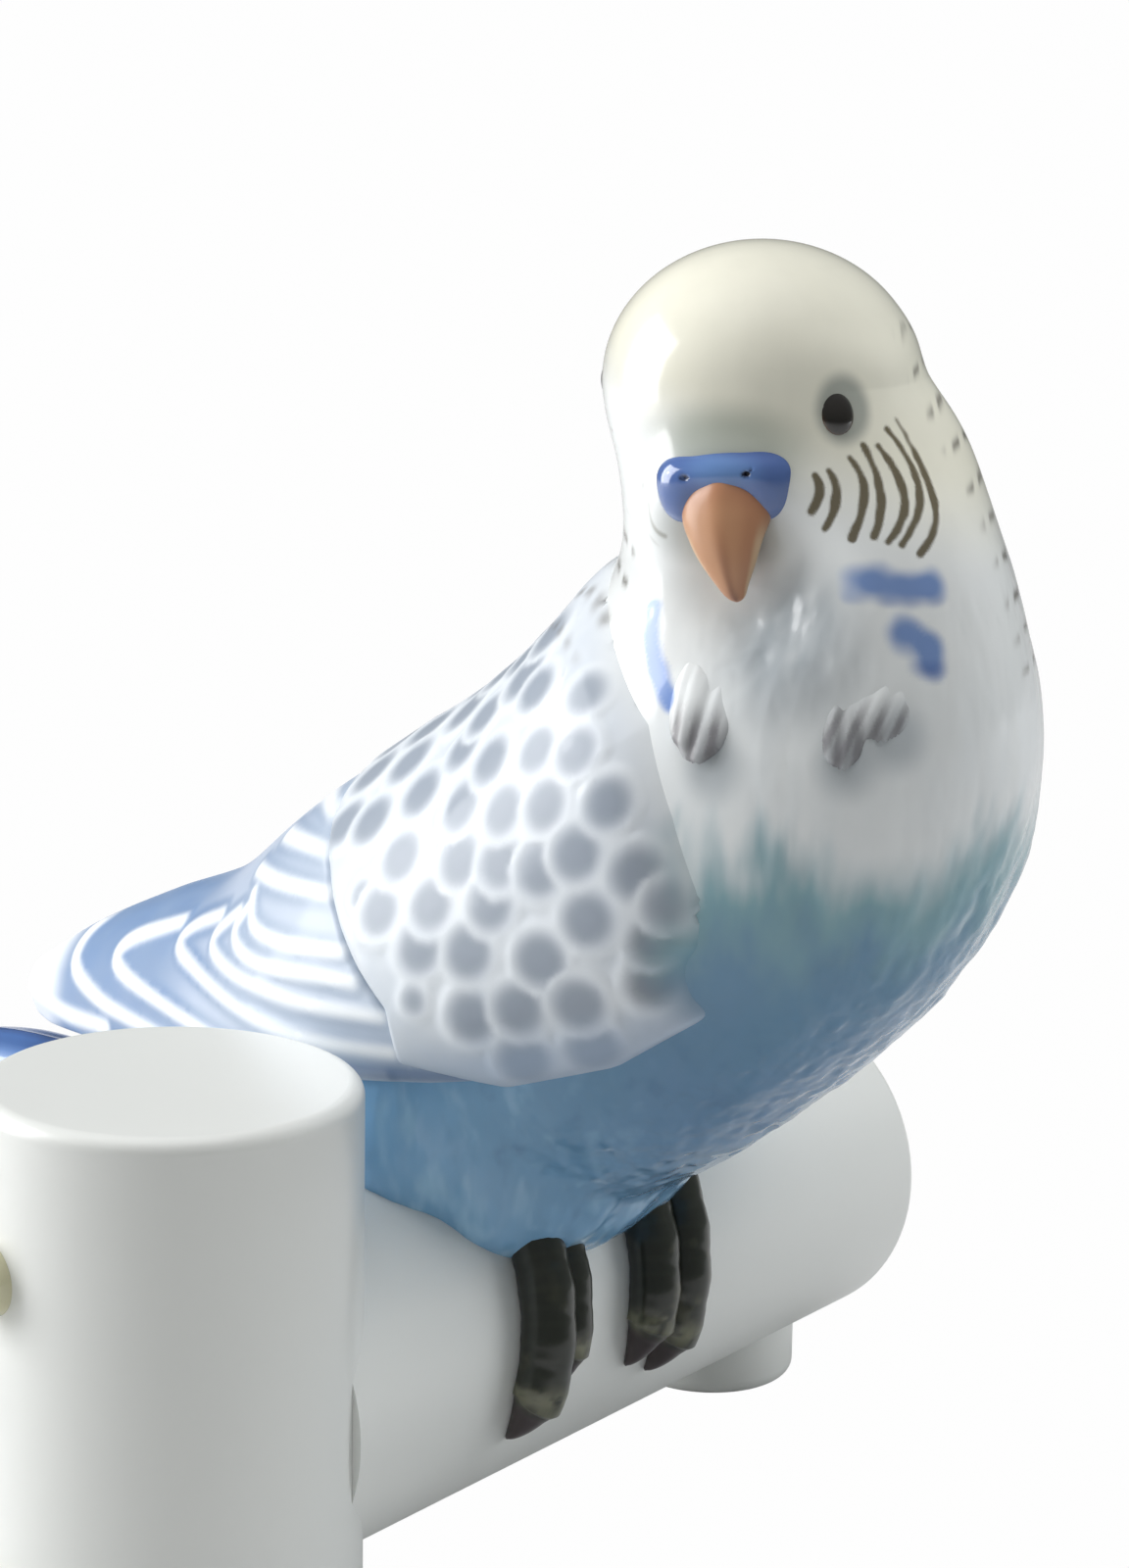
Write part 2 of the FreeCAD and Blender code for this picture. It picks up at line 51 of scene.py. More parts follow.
BODY = [(-32.3, 100.5, -87, 5.0, 6.4), (-33.9, 92.0, -85, 10.4, 13.0),
        (-33.93, 83.28, -84, 13.83, 16.86), (-32.37, 74.06, -76, 17.56, 19.95),
        (-28.46, 65.44, -62, 19.67, 20.92), (-20.17, 57.08, -48, 20.22, 20.74),
        (-9.63, 49.42, -38, 20.45, 20.76), (4.0, 41.0, -32, 19.5, 19.8),
        (15.0, 37.3, -29, 15.4, 15.7), (24.0, 33.6, -27, 12.1, 12.4),
        (32.5, 30.0, -25, 9.3, 9.6), (41.5, 26.6, -23, 6.7, 6.9), (50.0, 23.6, -22, 4.2, 4.4)]
WING = [(-33.9, 92.0, -85, 10.6, 13.4), (-33.93, 83.28, -84, 15.0, 18.2), (-32.37, 74.06, -76, 19.1, 21.5),
        (-28.46, 65.44, -62, 21.4, 22.7), (-20.17, 57.08, -48, 22.0, 22.5),
        (-9.63, 49.42, -38, 22.2, 22.5), (4.0, 41.0, -32, 21.2, 21.6),
        (17.0, 36.2, -28, 17.0, 17.5), (30.0, 34.6, -25, 12.0, 13.6),
        (41.5, 33.9, -23, 7.6, 9.2), (50.0, 33.2, -20, 4.4, 5.4), (55.8, 33.2, -18, 1.7, 2.2)]


def fair(rows, n):
    """smooth curve through the stations"""
    S = np.array(rows, float)
    m = np.zeros_like(S)
    m[1:-1] = (S[2:] - S[:-2]) / 2
    m[0] = S[1] - S[0]
    m[-1] = S[-1] - S[-2]
    t = np.linspace(0, len(S) - 1, n)
    i = np.minimum(t.astype(int), len(S) - 2)
    x = (t - i)[:, None]
    return (2 * x**3 - 3 * x**2 + 1) * S[i] + (x**3 - 2 * x**2 + x) * m[i] + (3 * x**2 - 2 * x**3) * S[i + 1] + (x**3 - x**2) * m[i + 1]


class Hull:
    """elliptical sections along a bent spine in the bird's mid-plane, held as a side-view table"""

    def __init__(self, rows, step=0.5):
        C = fair(rows, 120)
        self.v0, self.z0, self.step = -75.0, -5.0, step
        nv, nz = int(190 / step), int(130 / step)
        V, Z = np.meshgrid(self.v0 + np.arange(nv) * step, self.z0 + np.arange(nz) * step, indexing="ij")
        t = np.radians(C[:, 2])
        tv, tz = np.cos(t), np.sin(t)

        def rel(k):
            dv, dz = V - C[k, 0], Z - C[k, 1]
            return dv * tv[k] + dz * tz[k], -dv * tz[k] + dz * tv[k]

        n = len(C)
        s0, w0 = rel(0)
        first = -s0
        best = np.where(s0 < 0, np.hypot(s0, w0), 1e9)
        out = np.zeros(V.shape + (5,))
        out[..., 0], out[..., 1], out[..., 2], out[..., 3] = C[0, 3], C[0, 4], w0, 0.0
        for k in range(n - 1):
            s1, w1 = rel(k + 1)
            x = s0 / np.where(np.abs(s0 - s1) < 1e-9, 1e-9, s0 - s1)
            w = w0 + (w1 - w0) * x
            m = (s0 >= 0) & (s1 < 0) & (np.abs(w) < best)
            for c, (p, q) in enumerate(((C[k, 3], C[k + 1, 3]), (C[k, 4], C[k + 1, 4]))):
                out[..., c] = np.where(m, p + (q - p) * x, out[..., c])
            out[..., 2] = np.where(m, w, out[..., 2])
            out[..., 3] = np.where(m, k + x, out[..., 3])
            best = np.where(m, np.abs(w), best)
            s0, w0 = s1, w1
        m = (s0 >= 0) & (np.hypot(s0, w0) < best)
        for c, p in ((0, C[-1, 3]), (1, C[-1, 4]), (3, n - 1.0)):
            out[..., c] = np.where(m, p, out[..., c])
        out[..., 2] = np.where(m, w0, out[..., 2])
        out[..., 4] = np.maximum(first, s0)
        self.tab = out
        self.n = n

    def look(self, P):
        a = (P[:, 1] - self.v0) / self.step
        b = (P[:, 2] - self.z0) / self.step
        i = np.clip(a.astype(int), 0, self.tab.shape[0] - 2)
        j = np.clip(b.astype(int), 0, self.tab.shape[1] - 2)
        x = np.clip(a - i, 0, 1)[:, None]
        y = np.clip(b - j, 0, 1)[:, None]
        T = self.tab
        return (T[i, j] * (1 - x) * (1 - y) + T[i + 1, j] * x * (1 - y) + T[i, j + 1] * (1 - x) * y + T[i + 1, j + 1] * x * y)

    def dist(self, P):
        a, b, w, k, s = self.look(P).T
        r = np.sqrt(P[:, 0]**2 + w**2) + 1e-6
        q = np.sqrt((P[:, 0] / a)**2 + (w / b)**2) + 1e-9
        return smax(r - r / q, s, 3.0)

    def angle(self, P):
        """0 at the crest of the back, grows down either flank; and the place along the spine 0..1"""
        T = self.look(P)
        return np.degrees(np.arctan2(np.abs(P[:, 0]) / T[:, 0], T[:, 2] / T[:, 1])), T[:, 3] / (self.n - 1)


def smin(a, b, k):
    h = np.clip(0.5 + 0.5 * (b - a) / k, 0, 1)
    return b + (a - b) * h - k * h * (1 - h)


def smax(a, b, k):
    return -smin(-a, -b, k)


BODYH, WINGH = Hull(BODY), Hull(WING)


def egg(P, c, ax, r):
    """ellipsoid with axes ax (rows) and radii r"""
    q = (P - c) @ np.asarray(ax).T
    r = np.asarray(r, float)
    k0 = np.sqrt(((q / r)**2).sum(1)) + 1e-9
    k1 = np.sqrt(((q / r**2)**2).sum(1)) + 1e-9
    return k0 * (k0 - 1.0) / k1


HAX = np.stack([FF, FL, UP])


def face(f, l, z):
    """point given forward, left and up of the head's centre"""
    return HC + FF * f + FL * l + UP * z


def head_d(P):
    crown = egg(P, face(0.25, -0.75, 2.6), HAX, (12.7, 12.25, 10.7))
    lower = egg(P, face(0.9, 0.7, -4.6), HAX, (11.6, 10.9, 10.0))
    d = smin(crown, lower, 4.0)
    muzzle = egg(P, face(10.2, -0.1, -5.6), HAX, (3.4, 5.4, 5.4))
    return smin(d, muzzle, 3.0)


def bird_d(P):
    b = BODYH.dist(P)
    h = head_d(P)
    d = smin(b, h, 5.0)
    # broad lower belly that settles over the perch
    d = smin(d, egg(P, np.array([-1.5, -5.0, 37.0]), np.eye(3), (19.5, 10.4, 14.6)), 3.0)
    # fluffed thighs that drape over the front of the perch
    for q, r in (((31.5, -10.2, 31.6), (7.5, 6.2, 6.0)), ((37.5, -10.6, 31.0), (7.0, 6.0, 5.8)), ((44.0, -10.4, 32.2), (7.5, 6.0, 6.0))):
        d = smin(d, egg(P, to_bird(np.array([q]))[0], np.eye(3), r), 3.5)
    # fuller side of the neck behind the left cheek
    d = smin(d, egg(P, np.array([4.2, -38.4, 90.6]), np.eye(3), (4.8, 5.2, 7.6)), 4.0)
    # hollow under the beak, where the throat falls back before the bib swells
    chin = egg(P, face(19.0, 2.0, -9.5), HAX, (6.2, 7.0, 6.0))
    return smax(d, -chin, 5.0)


def to_world(P):
    c, s = math.cos(BH), math.sin(BH)
    return np.stack([BX + P[..., 0] * c + P[..., 1] * s, -P[..., 0] * s + P[..., 1] * c, P[..., 2]], -1)


def to_bird(P):
    c, s = math.cos(BH), math.sin(BH)
    x = P[..., 0] - BX
    return np.stack([x * c - P[..., 1] * s, x * s + P[..., 1] * c, P[..., 2]], -1)


def grad(f, P, e=0.06):
    g = np.zeros_like(P)
    for k in range(3):
        q = np.zeros(3)
        q[k] = e
        g[:, k] = (f(P + q) - f(P - q)) / (2 * e)
    return g


def settle(f, P, n=3, cap=0.6):
    for _ in range(n):
        g = grad(f, P)
        st = f(P)[:, None] * g / np.maximum((g * g).sum(1), 0.2)[:, None]
        L = np.linalg.norm(st, axis=1, keepdims=True)
        P = P - st * np.minimum(1, cap / np.maximum(L, 1e-9))
    return P


def nets(f, lo, hi, h):
    """closed quad mesh of f = 0 on a grid"""
    lo, hi = np.array(lo, float), np.array(hi, float)
    n = np.ceil((hi - lo) / h).astype(int) + 1
    ax = [lo[k] + np.arange(n[k]) * h for k in range(3)]
    G = np.stack(np.meshgrid(*ax, indexing="ij"), -1).reshape(-1, 3)
    F = np.concatenate([f(G[i:i + 200000]) for i in range(0, len(G), 200000)]).reshape(n)
    S = F < 0
    m = n - 1
    acc = np.zeros(tuple(m) + (3,))
    cnt = np.zeros(tuple(m))
    I, J, K = [np.arange(x) for x in m]
    for axis in range(3):
        oth = [a for a in range(3) if a != axis]
        for d0 in (0, 1):
            for d1 in (0, 1):
                off = [0, 0, 0]
                off[oth[0]], off[oth[1]] = d0, d1
                sa = tuple(slice(off[k], off[k] + m[k]) for k in range(3))
                ob = list(off)
                ob[axis] = 1
                sb = tuple(slice(ob[k], ob[k] + m[k]) for k in range(3))
                a, b = F[sa], F[sb]
                x = (a < 0) != (b < 0)
                t = np.where(x, a / np.where(x, a - b, 1), 0)
                p = np.zeros(tuple(m) + (3,))
                for k in range(3):
                    p[..., k] = off[k]
                p[..., axis] = t
                acc += p * x[..., None]
                cnt += x
    use = cnt > 0
    idx = -np.ones(tuple(m), int)
    idx[use] = np.arange(use.sum())
    base = np.stack(np.meshgrid(I, J, K, indexing="ij"), -1)
    V = lo + (base[use] + acc[use] / cnt[use][:, None]) * h
    Q = []
    for axis in range(3):
        oth = [a for a in range(3) if a != axis]
        sl_a = [slice(1, m[k]) for k in range(3)]
        sl_b = [slice(1, m[k]) for k in range(3)]
        sl_a[axis] = slice(0, m[axis])
        sl_b[axis] = slice(1, m[axis] + 1)
        A, B = S[tuple(sl_a)], S[tuple(sl_b)]
        E = np.argwhere(A != B)
        if not len(E):
            continue
        o = np.array([0 if k == axis else 1 for k in range(3)])
        c = E + o
        u = np.zeros(3, int)
        v = np.zeros(3, int)
        u[oth[0]] = 1
        v[oth[1]] = 1
        q = np.stack([idx[tuple((c - u - v).T)], idx[tuple((c - v).T)], idx[tuple(c.T)], idx[tuple((c - u).T)]], 1)
        inside = A[tuple(E.T)]
        flip = inside if axis != 1 else ~inside
        q[~flip] = q[~flip][:, ::-1]
        Q.append(q)
    Q = np.concatenate(Q)
    return V, Q


def halve(V, Q):
    """split each quad in four"""
    n = len(V)
    E = np.sort(np.concatenate([Q[:, [0, 1]], Q[:, [1, 2]], Q[:, [2, 3]], Q[:, [3, 0]]]), axis=1)
    key = E[:, 0].astype(np.int64) * n + E[:, 1]
    uk, inv = np.unique(key, return_inverse=True)
    mid = (V[uk // n] + V[uk % n]) / 2
    cen = V[Q].mean(1)
    m = len(Q)
    e = n + inv.reshape(4, m)
    c = n + len(uk) + np.arange(m)
    Q2 = np.concatenate([np.stack([Q[:, 0], e[0], c, e[3]], 1), np.stack([Q[:, 1], e[1], c, e[0]], 1),
                         np.stack([Q[:, 2], e[2], c, e[1]], 1), np.stack([Q[:, 3], e[3], c, e[2]], 1)])
    return np.concatenate([V, mid, cen]), Q2


def relax(V, Q, n=2):
    for _ in range(n):
        s = np.zeros_like(V)
        c = np.zeros(len(V))
        for a, b in ((0, 1), (1, 2), (2, 3), (3, 0)):
            np.add.at(s, Q[:, a], V[Q[:, b]])
            np.add.at(s, Q[:, b], V[Q[:, a]])
            np.add.at(c, Q[:, a], 1)
            np.add.at(c, Q[:, b], 1)
        V = 0.5 * V + 0.5 * s / c[:, None]
    return V


def skin(f, lo, hi, h, sub=2):
    """fine mesh of a form: coarse net, relaxed, split and settled on the surface"""
    V, Q = nets(f, lo, hi, h)
    V = settle(f, relax(V, Q, 2), 3)
    for _ in range(sub):
        V, Q = halve(V, Q)
        V = settle(f, V, 2)
    return V, Q


# ------------------------------------------------------------------ small tools
def lin(c):
    c = np.asarray(c, float) / 255.0
    return np.where(c <= 0.04045, c / 12.92, ((c + 0.055) / 1.055)**2.4)


def step(x, a, b):
    t = np.clip((x - a) / (b - a), 0, 1)
    return t * t * (3 - 2 * t)


def mix(a, b, t):
    t = np.asarray(t)[:, None]
    return a * (1 - t) + b * t


LAT = rng.random((32, 32, 32))


def noise(P, scale, shift=0.0):
    """smooth value noise, -1..1; scale is the cell size in mm (one number or three)"""
    q = P / np.asarray(scale, float) + shift
    i = np.floor(q).astype(int)
    f = q - i
    f = f * f * (3 - 2 * f)
    out = 0
    for dx in (0, 1):
        for dy in (0, 1):
            for dz in (0, 1):
                w = (f[:, 0] if dx else 1 - f[:, 0]) * (f[:, 1] if dy else 1 - f[:, 1]) * (f[:, 2] if dz else 1 - f[:, 2])
                out = out + w * LAT[(i[:, 0] + dx) % 32, (i[:, 1] + dy) % 32, (i[:, 2] + dz) % 32]
    return out * 2 - 1


def fbm(P, scale, shift=0.0, n=3):
    s = np.asarray(scale, float)
    return sum(noise(P, s / 2**k, shift + 7.3 * k) / 2**k for k in range(n)) / 1.6


def near_line(P, pts):
    """distance to a polyline and the place along it 0..1 (any dimension)"""
    pts = np.asarray(pts, float)
    best = np.full(len(P), 1e9)
    at = np.zeros(len(P))
    n = len(pts) - 1
    for k in range(n):
        a, b = pts[k], pts[k + 1]
        d = b - a
        t = np.clip(((P - a) @ d) / max(d @ d, 1e-9), 0, 1)
        r = np.linalg.norm(P - a - t[:, None] * d, axis=1)
        m = r < best
        best[m] = r[m]
        at[m] = (k + t[m]) / n
    return best, at


def curve(pts, n=24):
    """rounded polyline through the points"""
    p = np.asarray(pts, float)
    if len(p) == 3:
        t = np.linspace(0, 1, n)[:, None]
        return p[0] * (2 * t - 1) * (t - 1) + p[1] * 4 * t * (1 - t) + p[2] * t * (2 * t - 1)
    return fair([tuple(q) for q in p], n)


class Flat:
    """signed distance to an outline in the side view, as a table; negative inside"""

    def __init__(self, poly, step_=0.5):
        self.v0, self.z0, self.s = -75.0, -5.0, step_
        V, Z = np.meshgrid(self.v0 + np.arange(int(190 / step_)) * step_, self.z0 + np.arange(int(130 / step_)) * step_, indexing="ij")
        G = np.stack([V.ravel(), Z.ravel()], 1)
        ring = np.array(list(poly) + [poly[0]], float)
        d, _ = near_line(G, ring)
        ins = np.zeros(len(G), bool)
        for (x0, y0), (x1, y1) in zip(ring[:-1], ring[1:]):
            c = (y0 > G[:, 1]) != (y1 > G[:, 1])
            xi = x0 + (G[:, 1] - y0) * (x1 - x0) / ((y1 - y0) if y1 != y0 else 1e-9)
            ins ^= c & (G[:, 0] < xi)
        self.t = np.where(ins, -d, d).reshape(V.shape)

    def __call__(self, P):
        a = np.clip((P[:, 1] - self.v0) / self.s, 0, self.t.shape[0] - 1.001)
        b = np.clip((P[:, 2] - self.z0) / self.s, 0, self.t.shape[1] - 1.001)
        i, j = a.astype(int), b.astype(int)
        x, y = a - i, b - j
        T = self.t
        return T[i, j] * (1 - x) * (1 - y) + T[i + 1, j] * x * (1 - y) + T[i, j + 1] * (1 - x) * y + T[i + 1, j + 1] * x * y


# ------------------------------------------------------------------ glazes
def glaze(name, base=None, rough=0.16, coat=0.6, grain=0.0, grain_scale=900.0, spec=0.5, tint=0.0, coat_rough=0.09):
    """fired glaze: painted ground under a clear coat, faintly uneven"""
    m = bpy.data.materials.new(name)
    m.use_nodes = True
    nt = m.node_tree
    b = nt.nodes["Principled BSDF"]
    b.inputs["Roughness"].default_value = rough
    b.inputs["Specular IOR Level"].default_value = spec
    b.inputs["Coat Weight"].default_value = coat
    b.inputs["Coat Roughness"].default_value = coat_rough
    b.inputs["IOR"].default_value = 1.5
    tex = nt.nodes.new("ShaderNodeTexCoord")
    if base is None:
        a = nt.nodes.new("ShaderNodeAttribute")
        a.attribute_name = "Col"
        nt.links.new(a.outputs["Color"], b.inputs["Base Color"])
    elif tint:
        # pooled glaze: the tone wanders very slightly over the surface
        n = nt.nodes.new("ShaderNodeTexNoise")
        n.inputs["Scale"].default_value = 55.0
        n.inputs["Detail"].default_value = 3.0
        r = nt.nodes.new("ShaderNodeMapRange")
        r.inputs["To Min"].default_value = 1.0 - tint
        r.inputs["To Max"].default_value = 1.0
        mx = nt.nodes.new("ShaderNodeMix")
        mx.data_type = "RGBA"
        mx.blend_type = "MULTIPLY"
        mx.inputs[0].default_value = 1.0
        mx.inputs[6].default_value = tuple(lin(base)) + (1.0,)
        nt.links.new(tex.outputs["Object"], n.inputs["Vector"])
        nt.links.new(n.outputs["Fac"], r.inputs["Value"])
        nt.links.new(r.outputs["Result"], mx.inputs[7])
        nt.links.new(mx.outputs[2], b.inputs["Base Color"])
    else:
        b.inputs["Base Color"].default_value = tuple(lin(base)) + (1.0,)
    if grain:
        n = nt.nodes.new("ShaderNodeTexNoise")
        n.inputs["Scale"].default_value = grain_scale
        n.inputs["Detail"].default_value = 2.0
        bp = nt.nodes.new("ShaderNodeBump")
        bp.inputs["Strength"].default_value = grain
        bp.inputs["Distance"].default_value = 0.0002
        nt.links.new(tex.outputs["Object"], n.inputs["Vector"])
        nt.links.new(n.outputs["Fac"], bp.inputs["Height"])
        nt.links.new(bp.outputs["Normal"], b.inputs["Normal"])
    return m


PORCELAIN = glaze("stand_glaze", (233, 235, 232), rough=0.34, coat=0.5, grain=0.10, grain_scale=260.0, tint=0.03, coat_rough=0.24)
# the pegs are white porcelain; this cream-tinted copy of the stand glaze paints the yellowish shade they sit in
PEG_SHADED_GLAZE = glaze("peg_painted_shade_glaze", (214, 210, 176), rough=0.25, coat=0.6, grain=0.08, grain_scale=300.0, tint=0.05)
PAINT = glaze("painted_glaze", rough=0.22, coat=0.55, grain=0.05, grain_scale=420.0)
PAINT_HEAD = glaze("painted_glaze_head", rough=0.2, coat=0.6, grain=0.04, grain_scale=420.0)
GLOSS = glaze("painted_gloss", rough=0.14, coat=0.9)
PAINT_WING = glaze("painted_glaze_wing", rough=0.42, coat=0.3, grain=0.05, grain_scale=420.0, spec=0.3, coat_rough=0.12)
TOEG = glaze("toe_gloss", rough=0.3, coat=0.35, coat_rough=0.15)
EYE = glaze("eye_gloss", rough=0.05, coat=1.0)
HORN = glaze("beak_satin", rough=0.38, coat=0.15, grain=0.05, grain_scale=500.0)


def piece(name, P, faces, colour, node_names, mat, local=True, sharp=None):
    """one closed mesh from points in mm"""
    W = to_world(P) if local else P
    me = bpy.data.meshes.new(name)
    nv = len(W)
    if isinstance(faces, np.ndarray):
        k = faces.shape[1]
        loops = faces.ravel().astype(np.int32)
        starts = (np.arange(len(faces)) * k).astype(np.int32)
    else:
        parts = [np.asarray(f) for f in faces]
        loops = np.concatenate([f.ravel() for f in parts]).astype(np.int32)
        sizes = np.concatenate([np.full(len(f), f.shape[1]) for f in parts])
        starts = (np.cumsum(sizes) - sizes).astype(np.int32)
    me.vertices.add(nv)
    me.vertices.foreach_set("co", (W * 0.001).astype(np.float32).ravel())
    me.loops.add(len(loops))
    me.loops.foreach_set("vertex_index", loops)
    me.polygons.add(len(starts))
    me.polygons.foreach_set("loop_start", starts)
    me.update(calc_edges=True)
    me.validate()
    me.polygons.foreach_set("use_smooth", np.ones(len(me.polygons), bool))
    if sharp is not None and len(sharp):
        inring = np.zeros(nv, bool)
        inring[sharp] = True
        ev = np.zeros(len(me.edges) * 2, np.int32)
        me.edges.foreach_get("vertices", ev)
        ev = ev.reshape(-1, 2)
        me.edges.foreach_set("use_edge_sharp", inring[ev].all(1))
    if colour is not None:
        a = me.color_attributes.new("Col", "FLOAT_COLOR", "POINT")
        c = np.ones((nv, 4), np.float32)
        c[:, :3] = np.clip(colour, 0, 1)
        a.data.foreach_set("color", c.ravel())
    me.materials.append(mat)
    me.update()
    o = bpy.data.objects.new(name, me)
    bpy.context.scene.collection.objects.link(o)
    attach(o, "root")
    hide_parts(*node_names)
    return o


def part_of(V, Q, C, keep):
    """one side of a mesh, capped where it was parted; returns points, faces, colours and the ring"""
    F = Q[keep]
    E = np.concatenate([F[:, [0, 1]], F[:, [1, 2]], F[:, [2, 3]], F[:, [3, 0]]])
    n = len(V)
    key = E[:, 0].astype(np.int64) * n + E[:, 1]
    rev = E[:, 1].astype(np.int64) * n + E[:, 0]
    b = E[~np.isin(key, rev)]
    c = V[b.ravel()].mean(0)
    tri = np.stack([b[:, 1], b[:, 0], np.full(len(b), n)], 1)
    used = np.unique(np.concatenate([F.ravel(), [n]]))
    m = -np.ones(n + 1, int)
    m[used] = np.arange(len(used))
    V2 = np.concatenate([V, c[None]])[used]
    C2 = np.concatenate([C, C[b[:, 0]].mean(0)[None]])[used]
    return V2, [m[F], m[tri]], C2, m[np.unique(b)]


def sweep(C, A, Bd, wide, thick, nseg=40, shape=None, up=None):
    """closed horn along centres C: section axes A (across) and Bd (through), half sizes wide, thick"""
    n = len(C)
    a = np.arange(nseg) / nseg * 2 * np.pi
    ca, sa = np.cos(a), np.sin(a)
    V = []
    for i in range(n):
        w, h = wide[i], thick[i]
        r = np.ones(nseg) if shape is None else shape(a, i / (n - 1))
        V.append(C[i] + A[i] * (w * ca * r)[:, None] + Bd[i] * (h * sa * r)[:, None])
    V = np.concatenate(V + [C[:1], C[-1:]])
    i = np.arange(n - 1)[:, None]
    j = np.arange(nseg)[None, :]
    k = (j + 1) % nseg
    Q = np.stack([i * nseg + j, i * nseg + k, (i + 1) * nseg + k, (i + 1) * nseg + j], -1).reshape(-1, 4)
    j = np.arange(nseg)
    k = (j + 1) % nseg
    t0 = np.stack([k, j, np.full(nseg, n * nseg)], 1)
    t1 = np.stack([(n - 1) * nseg + j, (n - 1) * nseg + k, np.full(nseg, n * nseg + 1)], 1)
    # make sure the skin faces outwards
    c = V[Q].mean(1)
    nn = np.cross(V[Q[:, 2]] - V[Q[:, 0]], V[Q[:, 3]] - V[Q[:, 1]])
    mid = C[np.repeat(np.arange(n - 1), nseg)]
    if ((c - mid) * nn).sum() < 0:
        Q, t0, t1 = Q[:, ::-1], t0[:, ::-1], t1[:, ::-1]
    return V, [Q, np.concatenate([t0, t1])]


# ------------------------------------------------------------------ markings
def head_frame(P):
    q = P - HC
    return np.stack([q @ FF, q @ FL, q[:, 2]], 1)


# dark wavy bars on the bird's left cheek: forward, left, up of the head's centre
STRIPES = [[(12.3, 7.3, -2.4), (12.6, 7.8, -3.6), (13.0, 7.3, -5.0)],
           [(11.8, 8.2, -2.1), (12.3, 9.0, -3.9), (13.1, 8.4, -6.2)],
           [(10.7, 9.5, -1.2), (11.2, 10.8, -3.6), (13.0, 10.5, -6.8)],
           [(9.7, 10.2, -0.3), (10.6, 11.9, -3.6), (12.4, 12.0, -6.6)],
           [(8.9, 11.2, -0.4), (9.7, 13.5, -4.0), (12.1, 13.0, -7.0)],
           [(7.7, 11.5, 0.7), (8.4, 14.2, -3.4), (11.7, 14.0, -7.2)],
           [(6.6, 11.9, 1.3), (8.0, 15.3, -4.3), (11.2, 15.2, -7.9)]]
# fainter arcs on the right cheek
ARCS = [[(11.2, -6.8, -4.4), (11.4, -6.8, -7.0), (12.5, -4.9, -8.8)],
        [(10.6, -7.5, -5.2), (10.8, -7.3, -8.2), (12.4, -5.0, -10.1)],
        [(9.9, -8.2, -6.0), (10.3, -7.8, -9.4), (12.2, -5.2, -11.6)],
        [(12.1, -6.0, -5.6), (12.3, -5.5, -7.2), (12.7, -4.3, -7.9)]]
EYE_L = np.array([9.75, 8.1, 1.8])
EYE_R = np.array([0.9, -12.3, 1.8])
OLIVE = lin((96, 86, 62))
BROWNISH = lin((104, 98, 90))


def barred(P, h):
    """short wavy dashes over the back of the head, the nape and the neck: strength 0..1"""
    az = np.degrees(np.arctan2(h[:, 1], h[:, 0]))
    r = np.hypot(h[:, 0], h[:, 1])
    row = (h[:, 2] + 0.55 * np.sin(np.radians(az) * 7) + 0.35 * noise(P, 3.0, 3.1)) / 2.7
    k = np.floor(row)
    f = row - k
    run = az * np.maximum(r, 9.0) / 57.3 / 2.5 + 0.5 * (k % 2) + 0.3 * noise(P, 5.0, 9.2)
    g = run - np.floor(run)
    dash = np.exp(-((f - 0.5) / 0.13)**2) * step(g, 0.12, 0.3) * (1 - step(g, 0.68, 0.86))
    lim = np.where(az > 0, 72.0, 38.0 + 34.0 * step(h[:, 2], -8.5, -4.5))
    back = step(np.abs(az), lim, lim + 7)
    zone = back * step(h[:, 2], -22.0, -18.0) * (1 - step(h[:, 2], 5.5, 9.5))
    return dash * zone * (0.55 + 0.45 * step(noise(P, 4.0, 1.7), -0.5, 0.3))


